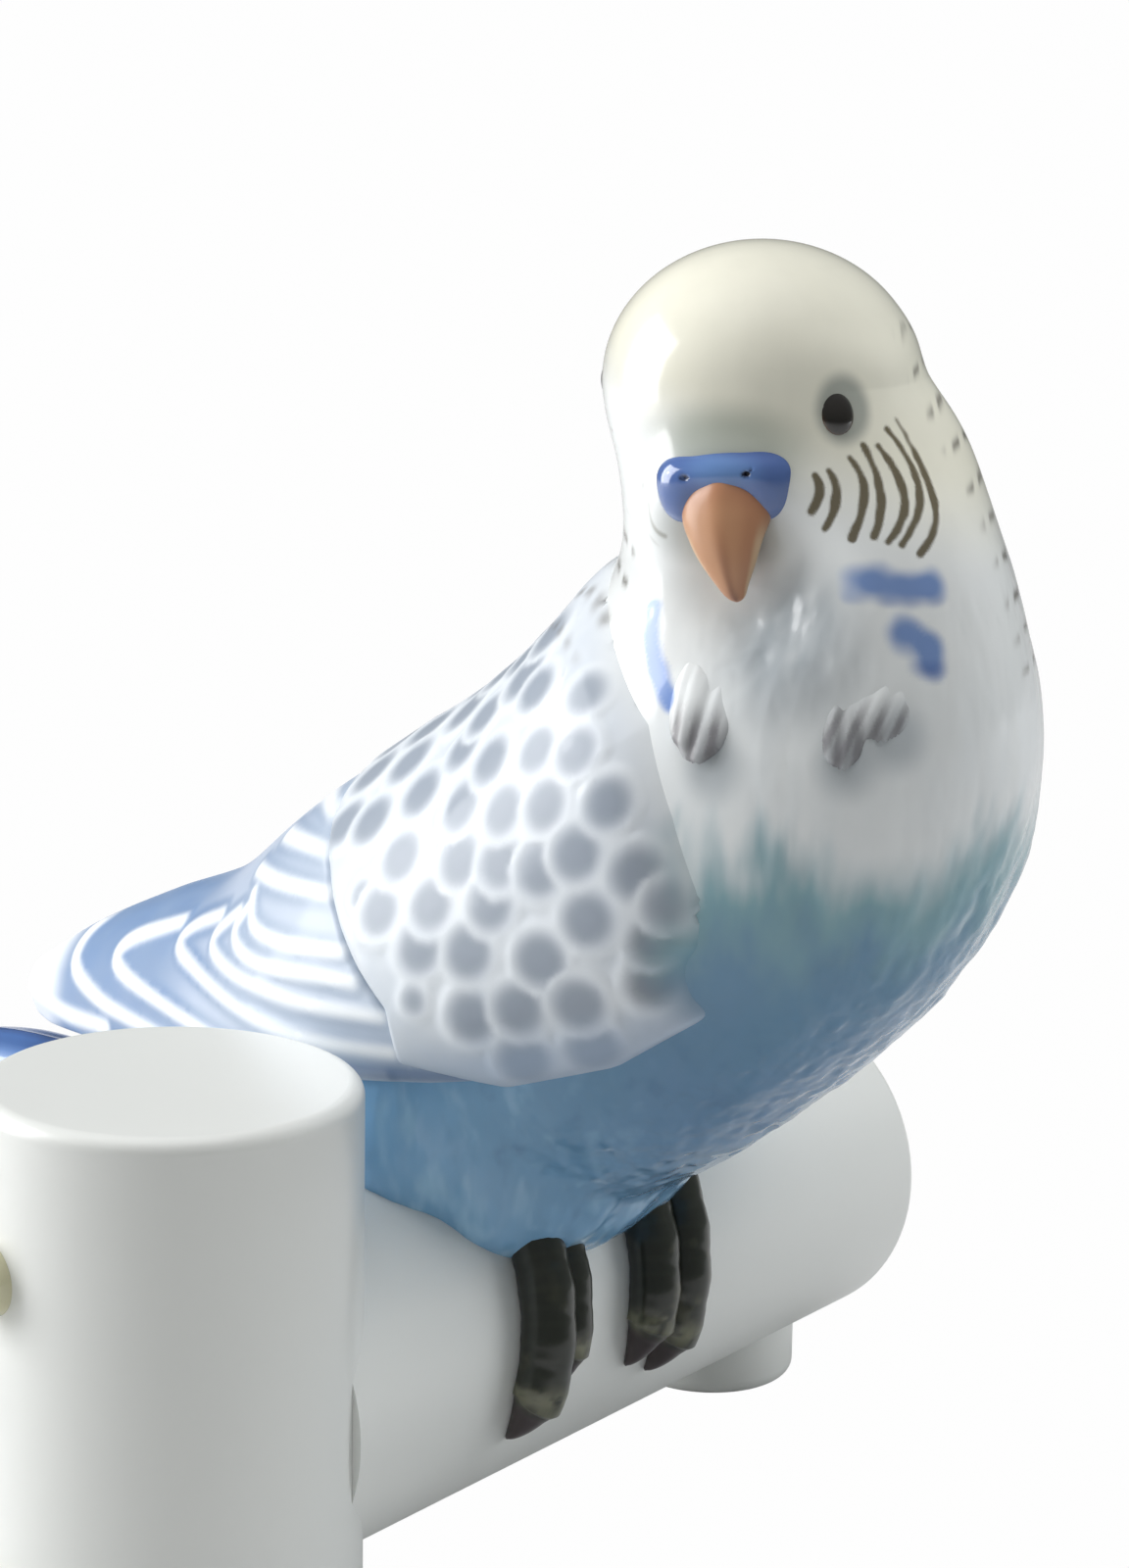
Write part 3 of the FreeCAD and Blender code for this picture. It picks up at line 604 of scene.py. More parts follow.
def bird_colour(P):
    h = head_frame(P)
    u, v, z = P.T
    ivory, white = lin((240, 238, 222)), lin((240, 243, 243))
    w = fbm(P, (5, 5, 14), 2.2)
    fine = fbm(P, (1.6, 1.6, 6.0), 5.5)
    c = np.repeat(ivory[None], len(P), 0)
    # cheeks and breast pale
    c = mix(c, white, 1 - step(h[:, 2] + 0.35 * h[:, 1], -4.0, 3.5))
    c = mix(c, lin((228, 233, 236)), (1 - step(z, 72, 84)) * (0.5 + 0.35 * fine))
    # breast turns teal, then slate blue
    front = 1 - step(v, -34, -6)
    edge = 66.0 + 5.6 * w + 4.2 * fine * step(w, -0.8, 0.8) - 0.16 * np.clip(v + 45, 0, 60) + 0.09 * np.clip(u, -25, 25)
    teal = step(edge - z, -4.5, 3.5)
    c = mix(c, lin((104, 156, 168)), 0.92 * teal)
    c = mix(c, lin((92, 136, 168)), step(edge - z, 1.5, 10.0))
    c = mix(c, lin((98, 136, 176)), 0.7 * step(edge - z, 9.0, 24.0) * front)
    # belly and flanks lighten towards the tail
    low = (1 - front) * (1 - step(z, 52, 64))
    c = mix(c, lin((142, 192, 232)), low * (0.8 + 0.2 * w))
    c = mix(c, lin((176, 216, 240)), 0.55 * low * step(fine, 0.1, 0.7))
    c = mix(c, lin((74, 112, 154)), 0.35 * step(-fine, 0.15, 0.8) * step(edge - z, 4, 14))
    # painted shade: chin and throat greyed in the hollow under the beak
    d = np.sqrt(((h - np.array([15.4, 6.8, -14.8])) / np.array([8.0, 6.2, 6.6]))**2 @ np.ones(3))
    c = mix(c, lin((128, 138, 146)), 0.92 * (1 - step(d, 0.35, 1.3)) * (0.75 + 0.25 * fine))
    # shade round the cere
    d = np.sqrt(((h - np.array([13.0, 0.6, -0.6])) / np.array([4.0, 6.6, 3.2]))**2 @ np.ones(3))
    c = mix(c, lin((150, 160, 146)), 0.62 * (1 - step(d, 0.4, 1.3)))
    d = np.sqrt(((h - np.array([12.6, 0.4, -7.2])) / np.array([3.0, 5.2, 2.6]))**2 @ np.ones(3))
    c = mix(c, lin((182, 188, 184)), 0.7 * (1 - step(d, 0.5, 1.4)))
    # painted shade in the eye sockets
    for e, k in ((EYE_L, 1), (EYE_R, 1)):
        d = np.sqrt(((h - e - np.array([-0.3, 0.35, 0.35])) / np.array([2.3, 2.1, 2.7]))**2 @ np.ones(3))
        c = mix(c, lin((150, 156, 150)), 0.8 * (1 - step(d, 0.7, 1.25)))
    # cheek bars
    for i, s in enumerate(STRIPES):
        d, t = near_line(h, curve(s, 14))
        d = d + 0.10 * noise(P, 0.9, 4.4 + i)
        wd = 0.14 + 0.13 * np.sin(np.pi * np.clip(t * 0.9 + 0.08, 0, 1)) + 0.05 * step(t, 0.7, 1.0)
        c = mix(c, OLIVE, 0.95 * (1 - step(d, wd, wd + 0.2)))
    for i, s in enumerate(ARCS):
        d, t = near_line(h, curve(s, 14))
        c = mix(c, lin((120, 118, 104)), 0.75 * (1 - step(d, 0.12, 0.38)))
        m = h * np.array([1.0, -1.0, 1.0])
    # the same bars further round the hidden cheek
    for i, s in enumerate(STRIPES[2:]):
        q = np.array(s) * np.array([1.0, -1.0, 1.0]) + np.array([-2.6, -0.6, -0.8])
        d, t = near_line(h, curve(q, 14))
        c = mix(c, OLIVE, 0.8 * (1 - step(d, 0.2, 0.45)) * step(-h[:, 1], 8.6, 9.6))
    c = mix(c, BROWNISH, 0.8 * barred(P, h) * step(z, 76, 80))
    # blue patches at the edge of the bib
    for pts, hw in (([(-8.6, -43.6, 86.6), (-7.2, -45.6, 86.3), (-5.4, -47.6, 86.2)], 1.3),
                    ([(-7.6, -46.9, 83.0), (-6.6, -48.4, 82.2), (-6.4, -48.8, 81.0)], 1.25)):
        d, t = near_line(P, curve(pts, 12))
        k = 1 - step(d + 0.35 * noise(P, 1.4, 6.1), hw * 0.45, hw * 1.5)
        c = mix(c, lin((106, 140, 198)), 0.92 * k)
        c = mix(c, lin((76, 104, 168)), 0.6 * k * step(-(P[:, 2] - (86.0 if hw > 1.27 else 81.4)), 0.0, 1.2))
    d, t = near_line(P, curve([(-13.6, -28.0, 83.0), (-14.7, -29.0, 80.6), (-15.9, -31.0, 78.2), (-16.5, -32.6, 76.9)], 14))
    c = mix(c, lin((110, 146, 212)), 0.9 * (1 - step(d + 0.25 * noise(P, 1.3, 2.0), 0.45, 1.15)))
    # shade under the bib's locks
    for q in ((-16.6, -37.0, 72.6), (-12.0, -45.8, 73.6), (-9.2, -48.0, 75.4)):
        d = np.linalg.norm((P - np.array(q)) / np.array([2.6, 2.6, 2.8]), axis=1)
        c = mix(c, lin((176, 184, 190)), 0.7 * (1 - step(d, 0.3, 1.3)))
    return c * (1 + 0.02 * fine[:, None])


COVERT_LINE = [(-19, 88.5), (-27.4, 82), (-33.5, 77), (-37, 70), (-39.6, 63), (-40.4, 57.8), (-36, 52.9),
               (-28, 47.4), (-19.3, 44.4), (-9.5, 44.6), (-8.4, 49), (-5.0, 51.6), (-1.6, 54.6), (1.6, 57.6), (5.0, 60.4),
               (9, 64), (12, 70), (4, 82), (-8, 90)]
COVERT_IN = Flat(COVERT_LINE)


def bird_relief(P):
    """soft plumage: shallow drawn-out furrows on the breast and belly, in mm"""
    z = P[:, 2]
    f = fbm(P, (1.9, 1.9, 7.5), 8.1)
    g = fbm(P, (3.2, 3.2, 4.2), 1.2)
    low = (1 - step(z, 60, 78)) * step(COVERT_IN(P), 0.5, 4.5)
    bib = np.exp(-((P[:, 2] - 80) / 6.0)**2) * (1 - step(P[:, 1], -36, -28))
    return 0.24 * low * f + 0.24 * low * g + 0.16 * bib * f


def blur(x, q, k=1):
    """soften a value over the mesh, so that markings have no stepped edges"""
    y = x.reshape(len(x), -1)
    cnt = np.maximum(np.bincount(q.ravel(), minlength=len(y)), 1)
    for _ in range(k):
        f = y[q].mean(1)
        y = np.stack([np.bincount(q.ravel(), weights=np.repeat(f[:, i], 4), minlength=len(y)) / cnt for i in range(y.shape[1])], 1)
    return y.reshape(x.shape)


def raise_(f, P, hgt):
    g = grad(f, P)
    n = g / np.maximum(np.linalg.norm(g, axis=1, keepdims=True), 1e-6)
    return P + n * hgt[:, None]


# ------------------------------------------------------------------ head and body
print("bird form")
V, Q = skin(bird_d, (-26, -58, 8), (26, 62, 113), 1.3, 0)
cen = V[Q].mean(1)
cutz = 85.0 + 0.12 * (cen[:, 1] + 35)
is_head = cen[:, 2] > cutz
# fine halves share the coarse seam, so they meet without a gap
for which, levels in (("head", 3), ("body", 2)):
    keep = is_head if which == "head" else ~is_head
    v, q = V, Q[keep]
    used = np.unique(q)
    m = -np.ones(len(v), int)
    m[used] = np.arange(len(used))
    v, q = v[used], m[q]
    for _ in range(levels):
        v, q = halve(v, q)
        v = settle(bird_d, v, 2)
    col = bird_colour(v)
    v = raise_(bird_d, v, bird_relief(v))
    pv, pf, pc, ring = part_of(v, q, col, np.ones(len(q), bool))
    if which == "head":
        piece("head", pv, pf, pc, ["head_shell"], PAINT_HEAD, sharp=ring)
    else:
        piece("body", pv, pf, pc, ["body_shell"], PAINT, sharp=ring)
    print(which, len(pv), pv.min(0).round(1), pv.max(0).round(1))

# ------------------------------------------------------------------ wings
FLIGHT_LINE = [(14, 70), (9, 64), (5.0, 60.4), (1.6, 57.6), (-1.6, 54.6), (-5.0, 51.6), (-8.4, 49), (-14, 46.5), (-18, 44.8), (-12, 43.4),
               (-5.9, 42.4), (4, 40.4), (12, 38.6), (22, 36.4), (32, 34.4), (42, 32.6), (50, 31.4), (57, 31), (62, 34), (56, 40), (44, 50), (26, 62)]
FLIGHT_IN = Flat(FLIGHT_LINE)
FRONT = np.array([(-8, 90), (-19, 88.5), (-27.4, 82), (-33.5, 77), (-37, 70), (-39.6, 63), (-40.4, 57.8), (-38.6, 55.2)], float)

SPOTS = [(-15.7, -18.6, 75.6), (-17.4, -24.8, 76.8), (-14.2, -12.0, 72.2), (-15.7, -11.2, 69.7), (-18.1, -16.0, 69.9),
         (-19.0, -21.5, 71.8), (-19.5, -25.9, 72.5), (-16.8, -7.7, 65.7), (-19.1, -13.9, 66.0), (-20.4, -19.4, 66.9),
         (-20.8, -24.0, 68.2), (-20.6, -29.9, 69.4), (-16.6, -2.2, 62.4), (-15.3, 2.0, 61.1), (-19.6, -8.1, 61.0),
         (-20.8, -15.5, 62.3), (-21.4, -20.1, 63.1), (-21.7, -24.3, 63.4), (-21.5, -27.7, 65.2), (-20.8, -33.1, 64.5),
         (-21.0, -7.1, 56.7), (-21.5, -13.1, 58.4), (-21.8, -19.5, 59.8), (-21.5, -29.0, 60.3), (-20.0, -35.7, 62.3),
         (-22.0, -12.3, 54.9), (-22.1, -17.6, 55.6), (-21.7, -24.5, 56.3), (-20.0, -34.4, 59.1), (-21.9, -17.8, 50.4),
         (-21.4, -22.2, 51.8), (-20.6, -27.5, 53.1), (-19.3, -33.8, 55.6), (-18.0, -38.7, 58.6), (-20.4, -22.0, 47.5),
         (-19.2, -28.0, 49.4), (-21.4, -12.0, 50.6), (-20.6, -4.2, 57.6)]
GIVEN = len(SPOTS)
sp = [np.array(s) for s in SPOTS]
W = fair(WING, 60)
for k, t in enumerate(np.linspace(3, 31, 9)):
    a = W[int(t)]
    th = math.radians(a[2])
    for j, ang in enumerate((4, 17, 30, 42) if k % 2 else (10.5, 23.5, 36)):
        g = math.radians(ang)
        p = np.array([-a[3] * math.sin(g), a[0] - a[4] * math.cos(g) * math.sin(th), a[1] + a[4] * math.cos(g) * math.cos(th)])
        if min(np.linalg.norm(p - s) for s in sp) > 3.7:
            sp.append(p)
SPOT = np.array(sp)
GREYS = lin((168, 176, 186))
SRAD = np.full(len(SPOT), 2.4)
for i in range(GIVEN):
    SRAD[i] = 2.0 + 0.3 * step(np.array([70 - SPOT[i, 2]]), -4, 8)[0]
SRAD[36:38] = 1.5


ORDER = np.argsort(-(0.78 * SPOT[:, 1] - 0.62 * SPOT[:, 2]))


def spot_look(P):
    """the scale that lies on top at each point, and how far out in it (1 = its rim)"""
    q = P.copy()
    q[:, 0] = -np.abs(q[:, 0])
    who = np.zeros(len(P), int)
    rim = np.full(len(P), 1.6)
    for i in ORDER:
        d = q - SPOT[i]
        # scales are drawn out along the lie of the feathers
        ax = np.array([0.0, 0.78, -0.62]) if SPOT[i, 2] < 66 else np.array([0.0, 0.62, -0.78])
        lie = d @ ax
        r = np.sqrt(np.maximum((d * d).sum(1) - 0.26 * lie * lie, 0)) / (SRAD[i] * 1.24)
        m = (r < 1.0) | ((r < rim) & (rim > 1.0))
        who = np.where(m, i, who)
        rim = np.where(m, r, rim)
    return who, rim


def cover_edge(P):
    """the coverts thin away where they run into the breast and shoulder"""
    d, _ = near_line(P[:, 1:], FRONT)
    return 2.5 * np.exp(-(d / 4.4)**2) + 1.6 * np.exp(-(((P[:, 1] + 38.8)**2 + (P[:, 2] - 56.2)**2) / 16.0))


def covert_d(P):
    d = WINGH.dist(P) + cover_edge(P)
    d = smax(d, COVERT_IN(P), 1.0)
    return d


def side_of(f, s, gap=0.08):
    def g(P):
        d = smax(f(P), s * P[:, 0] + gap, 0.8)
        return smax(d, -(bird_d(P) + 1.3), 0.3)
    return g


def covert_colour(P, hgt=None):
    who, r = spot_look(P)
    w = fbm(P, 3.0, 3.3)
    sp_ = SPOT[who]
    inside = step(-COVERT_IN(P), 0.2, 1.6)
    base = mix(np.repeat(lin((216, 222, 229))[None], len(P), 0), lin((196, 205, 216)), 0.5 * step(w, -0.4, 0.8))
    warm = (1 - step(sp_[:, 1], -37, -30)) * (1 - step(sp_[:, 2], 58, 62))
    dark = mix(np.repeat(lin((142, 152, 166))[None], len(P), 0), lin((118, 120, 126)), warm)
    k = 1 - step(r + 0.05 * w, 0.42, 0.95)
    fade = 1 - 0.8 * np.exp(-(near_line(P[:, 1:], FRONT)[0] / 3.2)**2)
    c = mix(base, dark, k * fade * 0.9 * (1 - step(P[:, 2], 79.0, 82.0)))
    # white raised rims
    c = mix(c, lin((236, 241, 246)), 0.6 * np.exp(-((r - 0.98) / 0.15)**2) * inside * (1 - step(P[:, 2], 79.0, 82.0)))
    # shoulder: pure white beside the neck, blue washed in at the lowest edge
    d, _ = near_line(P[:, 1:], FRONT)
    low = (1 - step(P[:, 2] + 0.35 * P[:, 1], 39.5, 43.5))
    c = mix(c, lin((150, 172, 200)), 0.55 * low)
    # the front edge is washed into the breast colour
    b = bird_colour(P)
    k = np.maximum(np.exp(-(d / 3.9)**4), 1 - step(np.hypot(P[:, 1] + 38.2, P[:, 2] - 56.6), 2.5, 7.0))
    c = mix(c, b, k)
    return mix(c, BROWNISH, 0.75 * barred(P, head_frame(P)) * step(P[:, 2], 77.0, 80.0))


def covert_relief(P):
    who, r = spot_look(P)
    d = near_line(P[:, 1:], FRONT)[0]
    live = step(d, 2.8, 6.0) * step(-COVERT_IN(P), 0.0, 1.0)
    return live * (0.11 * np.exp(-((r - 0.93) / 0.16)**2) + 0.06 * step(1 - r, 0.0, 0.3) - 0.06 * step(r, 1.0, 1.2) + 0.02 * fbm(P, 1.5, 4.0))


# pale hooked edges of the flight feathers in the side view, from the tip inwards
HOOKS = [[(52.5, 40.5), (56.3, 37.2), (55.6, 35.0), (51.0, 34.0), (44.0, 34.2), (36.0, 35.4)],
         [(42.0, 44.6), (44.6, 41.4), (43.9, 38.6), (38.0, 37.5), (32.6, 37.6), (27.2, 38.0), (16, 38.8), (2, 40.6)],
         [(26.6, 46.9), (33.3, 44.1), (36.0, 42.4), (35.8, 41.3), (32.8, 40.8), (26.1, 40.8), (20.3, 40.9), (12.0, 41.2), (0.0, 42.2), (-8, 43.4)],
         [(18.2, 49.9), (23.3, 47.6), (25.1, 46.1), (23.9, 45.3), (19.9, 45.1), (14.2, 44.9), (7.3, 44.6), (2.1, 44.6), (-3.8, 45.0), (-9.2, 45.6)],
         [(14.3, 51.3), (17.3, 49.1), (17.9, 47.9), (16.2, 47.3), (11.9, 47.1), (7.4, 47.2), (2.4, 47.3), (-3.7, 47.9), (-8.2, 48.4)],
         [(12.9, 51.9), (13.8, 50.2), (12.4, 49.2), (8.9, 48.9), (4.6, 49.3), (-0.4, 50.0), (-4.9, 50.5)],
         [(12.9, 53.2), (11.0, 51.5), (8.4, 51.1), (3.6, 51.5), (-0.5, 52.1), (-3.0, 52.5)],
         [(14.5, 54.4), (6.5, 55.4), (-0.1, 56.4)],
         [(13.2, 57.3), (6.4, 58.4), (2.5, 58.8)],
         [(12.0, 60.2), (9.4, 60.8), (4.6, 60.9)]]
HOOKS = [curve(h, 40) for h in HOOKS]


def hook_look(P):
    """distance to the nearest pale edge and to the next one"""
    q = P[:, 1:]
    D = np.stack([near_line(q, h)[0] for h in HOOKS], 1)
    S = np.sort(D, axis=1)
    return S[:, 0], S[:, 1], D.argmin(1)


def flight_d(P):
    d = WINGH.dist(P) + 0.25
    return smax(d, FLIGHT_IN(P), 0.8)


def flight_colour(P):
    a, b, who = hook_look(P)
    u, v, z = P.T
    w = fbm(P, (3, 6, 3), 2.0)
    blue = mix(np.repeat(lin((130, 153, 186))[None], len(P), 0), lin((170, 184, 203)), 1 - step(v, 2, 26))
    blue = mix(blue, lin((112, 142, 184)), 0.6 * step(v, 14, 24) * (1 - step(v, 42, 50)) * step(w, -0.6, 0.6))
    c = blue
    wd = 0.2 + 0.26 * step(v, 24, 44)
    c = mix(c, lin((243, 247, 251)), 0.97 * (1 - step(a, wd, wd + 0.7)))
    # the blade of each feather pales again between two edges
    c = mix(c, lin((214, 222, 234)), 0.45 * step(a, 1.0, 1.8) * (1 - step(v, 18, 30)))
    # along the back the blades lie flat and plain
    c = mix(c, blue, (1 - step(np.abs(u), 3.5, 7.5)) * (1 - step(v, 30, 40)))
    # white tip, blue-grey line along the wing's upper edge, and painted shadow as a dark line under the coverts
    c = mix(c, lin((244, 248, 252)), 0.95 * step(v, 45, 50))
    c = mix(c, lin((120, 148, 186)), 0.7 * (1 - step(np.abs(u), 1.2, 3.2)) * (1 - step(v, 40, 50)) * step(v, 12, 20))
    k = (1 - step(near_line(P[:, 1:], np.array([(-18, 45.2), (-10, 43.9), (-5.0, 43.2), (4, 41.6)]))[0], 0.35, 0.9))
    c = mix(c, lin((96, 122, 160)), 0.75 * k * (1 - step(v, -4, 3)))
    # down the rear edge of the coverts, nested pale arcs
    rear = np.array([(9, 64), (5.0, 60.4), (1.6, 57.6), (-1.6, 54.6), (-5.0, 51.6), (-8.4, 49)], float)
    d, _ = near_line(P[:, 1:], rear)
    c = mix(c, lin((186, 198, 212)), 0.35 * (1 - step(d, 0.2, 1.8)))
    return c


def flight_relief(P):
    a, b, who = hook_look(P)
    v = P[:, 1]
    # each feather stands proud along its pale edge and falls away inside it
    return (0.09 + 0.09 * step(v, 8, 30)) * np.exp(-(a / 0.7)**2) - 0.07 * step(a, 0.5, 1.8) + 0.015 * fbm(P, (2, 5, 1), 1.0)


print("wings")
for name, s in (("right", 1.0), ("left", -1.0)):
    lo, hi = ((-26, -46, 36), (1.5, 18, 96)) if s > 0 else ((-1.5, -46, 36), (26, 18, 96))
    f = side_of(covert_d, s)
    v, q = skin(f, lo, hi, 1.15, 1)
    v, q = halve(v, q)
    v = settle(f, v, 1)
    outer = step(0.5 - (WINGH.dist(v) + cover_edge(v)), 0.0, 0.5) * step(WINGH.dist(v) + cover_edge(v), -0.5, -0.2)
    col = blur(covert_colour(v), q, 2)
    v = raise_(f, v, blur(covert_relief(v) * outer, q, 2))
    piece(name + "_coverts", v, q, col, [name + "_wing_coverts"], PAINT_WING)
    print(name, "coverts", len(v), v.min(0).round(1), v.max(0).round(1))
    lo, hi = ((-26, -24, 26), (1.5, 64, 74)) if s > 0 else ((-1.5, -24, 26), (26, 64, 74))
    f = side_of(flight_d, s)
    v, q = skin(f, lo, hi, 1.15, 1)
    v, q = halve(v, q)
    v = settle(f, v, 1)
    outer = step(WINGH.dist(v) + 0.25, -0.5, -0.2) * np.maximum(step(np.abs(v[:, 0]), 3.5, 7.5), step(v[:, 1], 30, 40) * step(np.abs(v[:, 0]), 1.0, 3.0))
    col = blur(flight_colour(v), q, 1)
    v = raise_(f, v, blur(flight_relief(v) * outer, q, 1))
    piece(name + "_flights", v, q, col, [name + "_flight_feathers"], PAINT_WING)
    print(name, "flights", len(v), v.min(0).round(1), v.max(0).round(1))


# ------------------------------------------------------------------ tail
def blade(rows, lean, n=90, nseg=36):
    R = fair(rows, n)
    C = np.stack([np.interp(np.arange(n), np.linspace(0, n - 1, len(lean)), lean), R[:, 0], R[:, 1]], 1)
    th = np.radians(R[:, 2])
    A = np.repeat(np.array([[1.0, 0, 0]]), n, 0)
    B = np.stack([np.zeros(n), -np.sin(th), np.cos(th)], 1)
    t = np.arange(n) / (n - 1)
    close = np.sqrt(np.clip(1 - np.clip((t - 0.93) / 0.07, 0, 1)**2, 0.02, 1))

    def shape(a, x):
        # a raised shaft along the middle and thin vanes
        s = np.abs(np.sin(a))
        return 1 + 0.28 * np.exp(-((np.abs(np.cos(a)) / 0.14)**2)) * (s > 0.5)
    V, F = sweep(C, A, B, R[:, 3] * close, R[:, 4] * close, nseg, shape)
    tt = np.concatenate([np.repeat(t, nseg), [0, 1]])
    cc = np.concatenate([np.tile(np.cos(np.arange(nseg) / nseg * 2 * np.pi), n), [0, 0]])
    return V, F, tt, cc


TAIL = [(38.0, 27.6, -8, 3.6, 1.6), (50.0, 27.0, -8, 4.2, 1.45), (62.0, 26.2, -11, 4.7, 1.3),
        (80.0, 21.9, -16, 3.4, 1.05), (96.0, 17.2, -17, 1.4, 0.6)]
SIDE = [(38.0, 24.9, -10, 2.6, 1.4), (50.0, 23.6, -9, 2.9, 1.25), (62.0, 22.2, -12, 2.8, 1.1),
        (77.0, 18.3, -16, 1.3, 0.6)]


def tail_colour(V, t, c, pale):
    k = np.abs(c)
    col = mix(np.repeat(lin((70, 108, 170))[None], len(V), 0), lin((116, 148, 200)), step(k, 0.45, 0.95))
    col = mix(col, lin((206, 218, 238)), pale * step(k, 0.8, 1.0))
    col = mix(col, lin((48, 76, 132)), 0.6 * (1 - step(k, 0.04, 0.2)))
    return col * (1 + 0.06 * fbm(V, (1.0, 9.0, 1.0), 3.0)[:, None])


v, f, t, c = blade(TAIL, [0, 0, 0, 0, 0])
piece("tail_middle", v, f, tail_colour(v, t, c, 0.4), ["central_tail_feathers"], PAINT)
for name, s in (("right", -1.0), ("left", 1.0)):
    v, f, t, c = blade(SIDE, [s * 2.8, s * 4.2, s * 5.2, s * 6.6])
    piece(name + "_tail", v, f, tail_colour(v, t, c, 0.7), [name + "_outer_tail_feathers"], PAINT)

# ------------------------------------------------------------------ cere, beak, eyes
ROLL = math.radians(7.0)
RL = FL * math.cos(ROLL) + UP * math.sin(ROLL)
RU = UP * math.cos(ROLL) - FL * math.sin(ROLL)
RAX = np.stack([FF, RL, RU])
NOSTRILS = [(13.85, -2.25, -3.0), (13.75, 2.55, -2.35)]


def cere_d(P):
    d = egg(P, face(11.9, 0.35, -2.7), RAX, (2.75, 5.2, 2.0))
    a = egg(P, face(11.6, -2.75, -4.3), RAX, (2.5, 2.35, 2.75))
    b = egg(P, face(11.6, 3.55, -3.6), RAX, (2.5, 2.35, 2.75))
    d = smin(smin(d, a, 1.1), b, 1.1)
    m = egg(P, face(11.5, 0.6, -4.0), RAX, (2.5, 2.6, 1.9))
    d = smin(d, m, 0.8)
    for q in NOSTRILS:
        # little slanted pits
        d = smax(d, -egg(P, face(*q), RAX, (0.6, 0.42, 0.22)), 0.25)
    return d


def cere_colour(P):
    h = head_frame(P)
    c = np.repeat(lin((84, 112, 172))[None], len(P), 0)
    d = np.linalg.norm((h - np.array([13.4, 0.6, -2.2])) / np.array([9, 3.4, 1.5]), axis=1)
    c = mix(c, lin((104, 140, 194)), 0.9 * (1 - step(d, 0.3, 1.2)))
    c = mix(c, lin((112, 132, 186)), 0.5 * step(-h[:, 2], 4.2, 6.4))
    d = np.linalg.norm((h - np.array([13.4, 0.7, -5.0])) / np.array([9, 2.6, 1.3]), axis=1)
    c = mix(c, lin((46, 74, 146)), 0.8 * (1 - step(d, 0.4, 1.2)))
    c = mix(c, lin((52, 74, 132)), 0.75 * step(h[:, 2], -1.5, -0.5))
    c = mix(c, lin((150, 168, 200)), 0.5 * (1 - step(h[:, 0], 11.6, 12.5)))
    for q in NOSTRILS:
        d = np.linalg.norm((P - face(*q)) @ RAX.T / np.array([1.2, 0.44, 0.24]), axis=1)
        c = mix(c, lin((14, 16, 34)), 1 - step(d, 0.75, 1.2))
    return c


v, q = skin(cere_d, HC + FF * 11 - np.array([9, 9, 11]), HC + FF * 11 + np.array([9, 9, 5]), 0.55, 2)
piece("cere_piece", v, q, cere_colour(v), ["cere"], GLOSS)
print("cere", len(v), head_frame(v).min(0).round(1), head_frame(v).max(0).round(1))

# hooked upper beak: forward, left, up, half width, half thickness, lean
BEAK = [(11.2, 0.45, -3.4, 2.2, 2.2, 30), (12.4, 0.6, -4.6, 3.3, 2.5, 42), (13.2, 0.8, -5.9, 3.55, 2.2, 60),
        (13.9, 1.1, -7.5, 2.95, 1.75, 76), (14.3, 1.5, -9.2, 2.15, 1.35, 88), (14.4, 1.85, -10.7, 1.3, 0.95, 96),
        (14.3, 2.1, -11.6, 0.75, 0.6, 100), (14.22, 2.18, -11.95, 0.3, 0.3, 102)]
R = fair(BEAK, 90)
C = np.stack([face(r[0], r[1], r[2]) for r in R])
le = np.radians(R[:, 5])
A = np.repeat(RL[None], len(R), 0)
T = np.gradient(C, axis=0)
T /= np.linalg.norm(T, axis=1, keepdims=True)
B = np.cross(T, A)
B /= np.linalg.norm(B, axis=1, keepdims=True)
if (B[45] @ FF) < 0:
    B = -B
A = np.cross(B, T)
A *= np.sign((A @ RL))[:, None]


def beak_shape(a, x):
    # a soft ridge down the front and slightly pinched cutting edges
    front = np.exp(-((np.angle(np.exp(1j * (a - np.pi / 2))) / 0.30)**2))
    return 0.97 + 0.10 * front * (1 - 0.5 * x)


v, f = sweep(C, A, B, R[:, 3], R[:, 4], 64, beak_shape)
h = head_frame(v)
a = np.concatenate([np.tile(np.arange(64) / 64 * 2 * np.pi, 90), [0, 0]])
x = np.concatenate([np.repeat(np.arange(90) / 89, 64), [0, 1]])
off = np.cos(a)
bc = mix(np.repeat(lin((198, 148, 112))[None], len(v), 0), lin((150, 100, 72)), 0.7 * np.exp(-((off / 0.2)**2)) * step(x, 0.25, 0.6))
bc = mix(bc, lin((128, 86, 72)), 0.7 * np.exp(-(((x - 0.86) / 0.12)**2)) * np.exp(-((off / 0.6)**2)))
# painted shade: the beak's left side, away from the key light, darker
bc = mix(bc, lin((178, 122, 92)), 0.5 * step(off, 0.25, 0.8))
bc = mix(bc, lin((222, 196, 158)), 0.7 * step(np.abs(off), 0.82, 0.97) * step(x, 0.3, 0.5))
bc = mix(bc, lin((168, 108, 80)), 0.45 * (1 - step(x, 0.15, 0.35)))
piece("beak_horn", v, f, bc, ["upper_beak"], HORN)
print("beak", h.min(0).round(1), h.max(0).round(1))


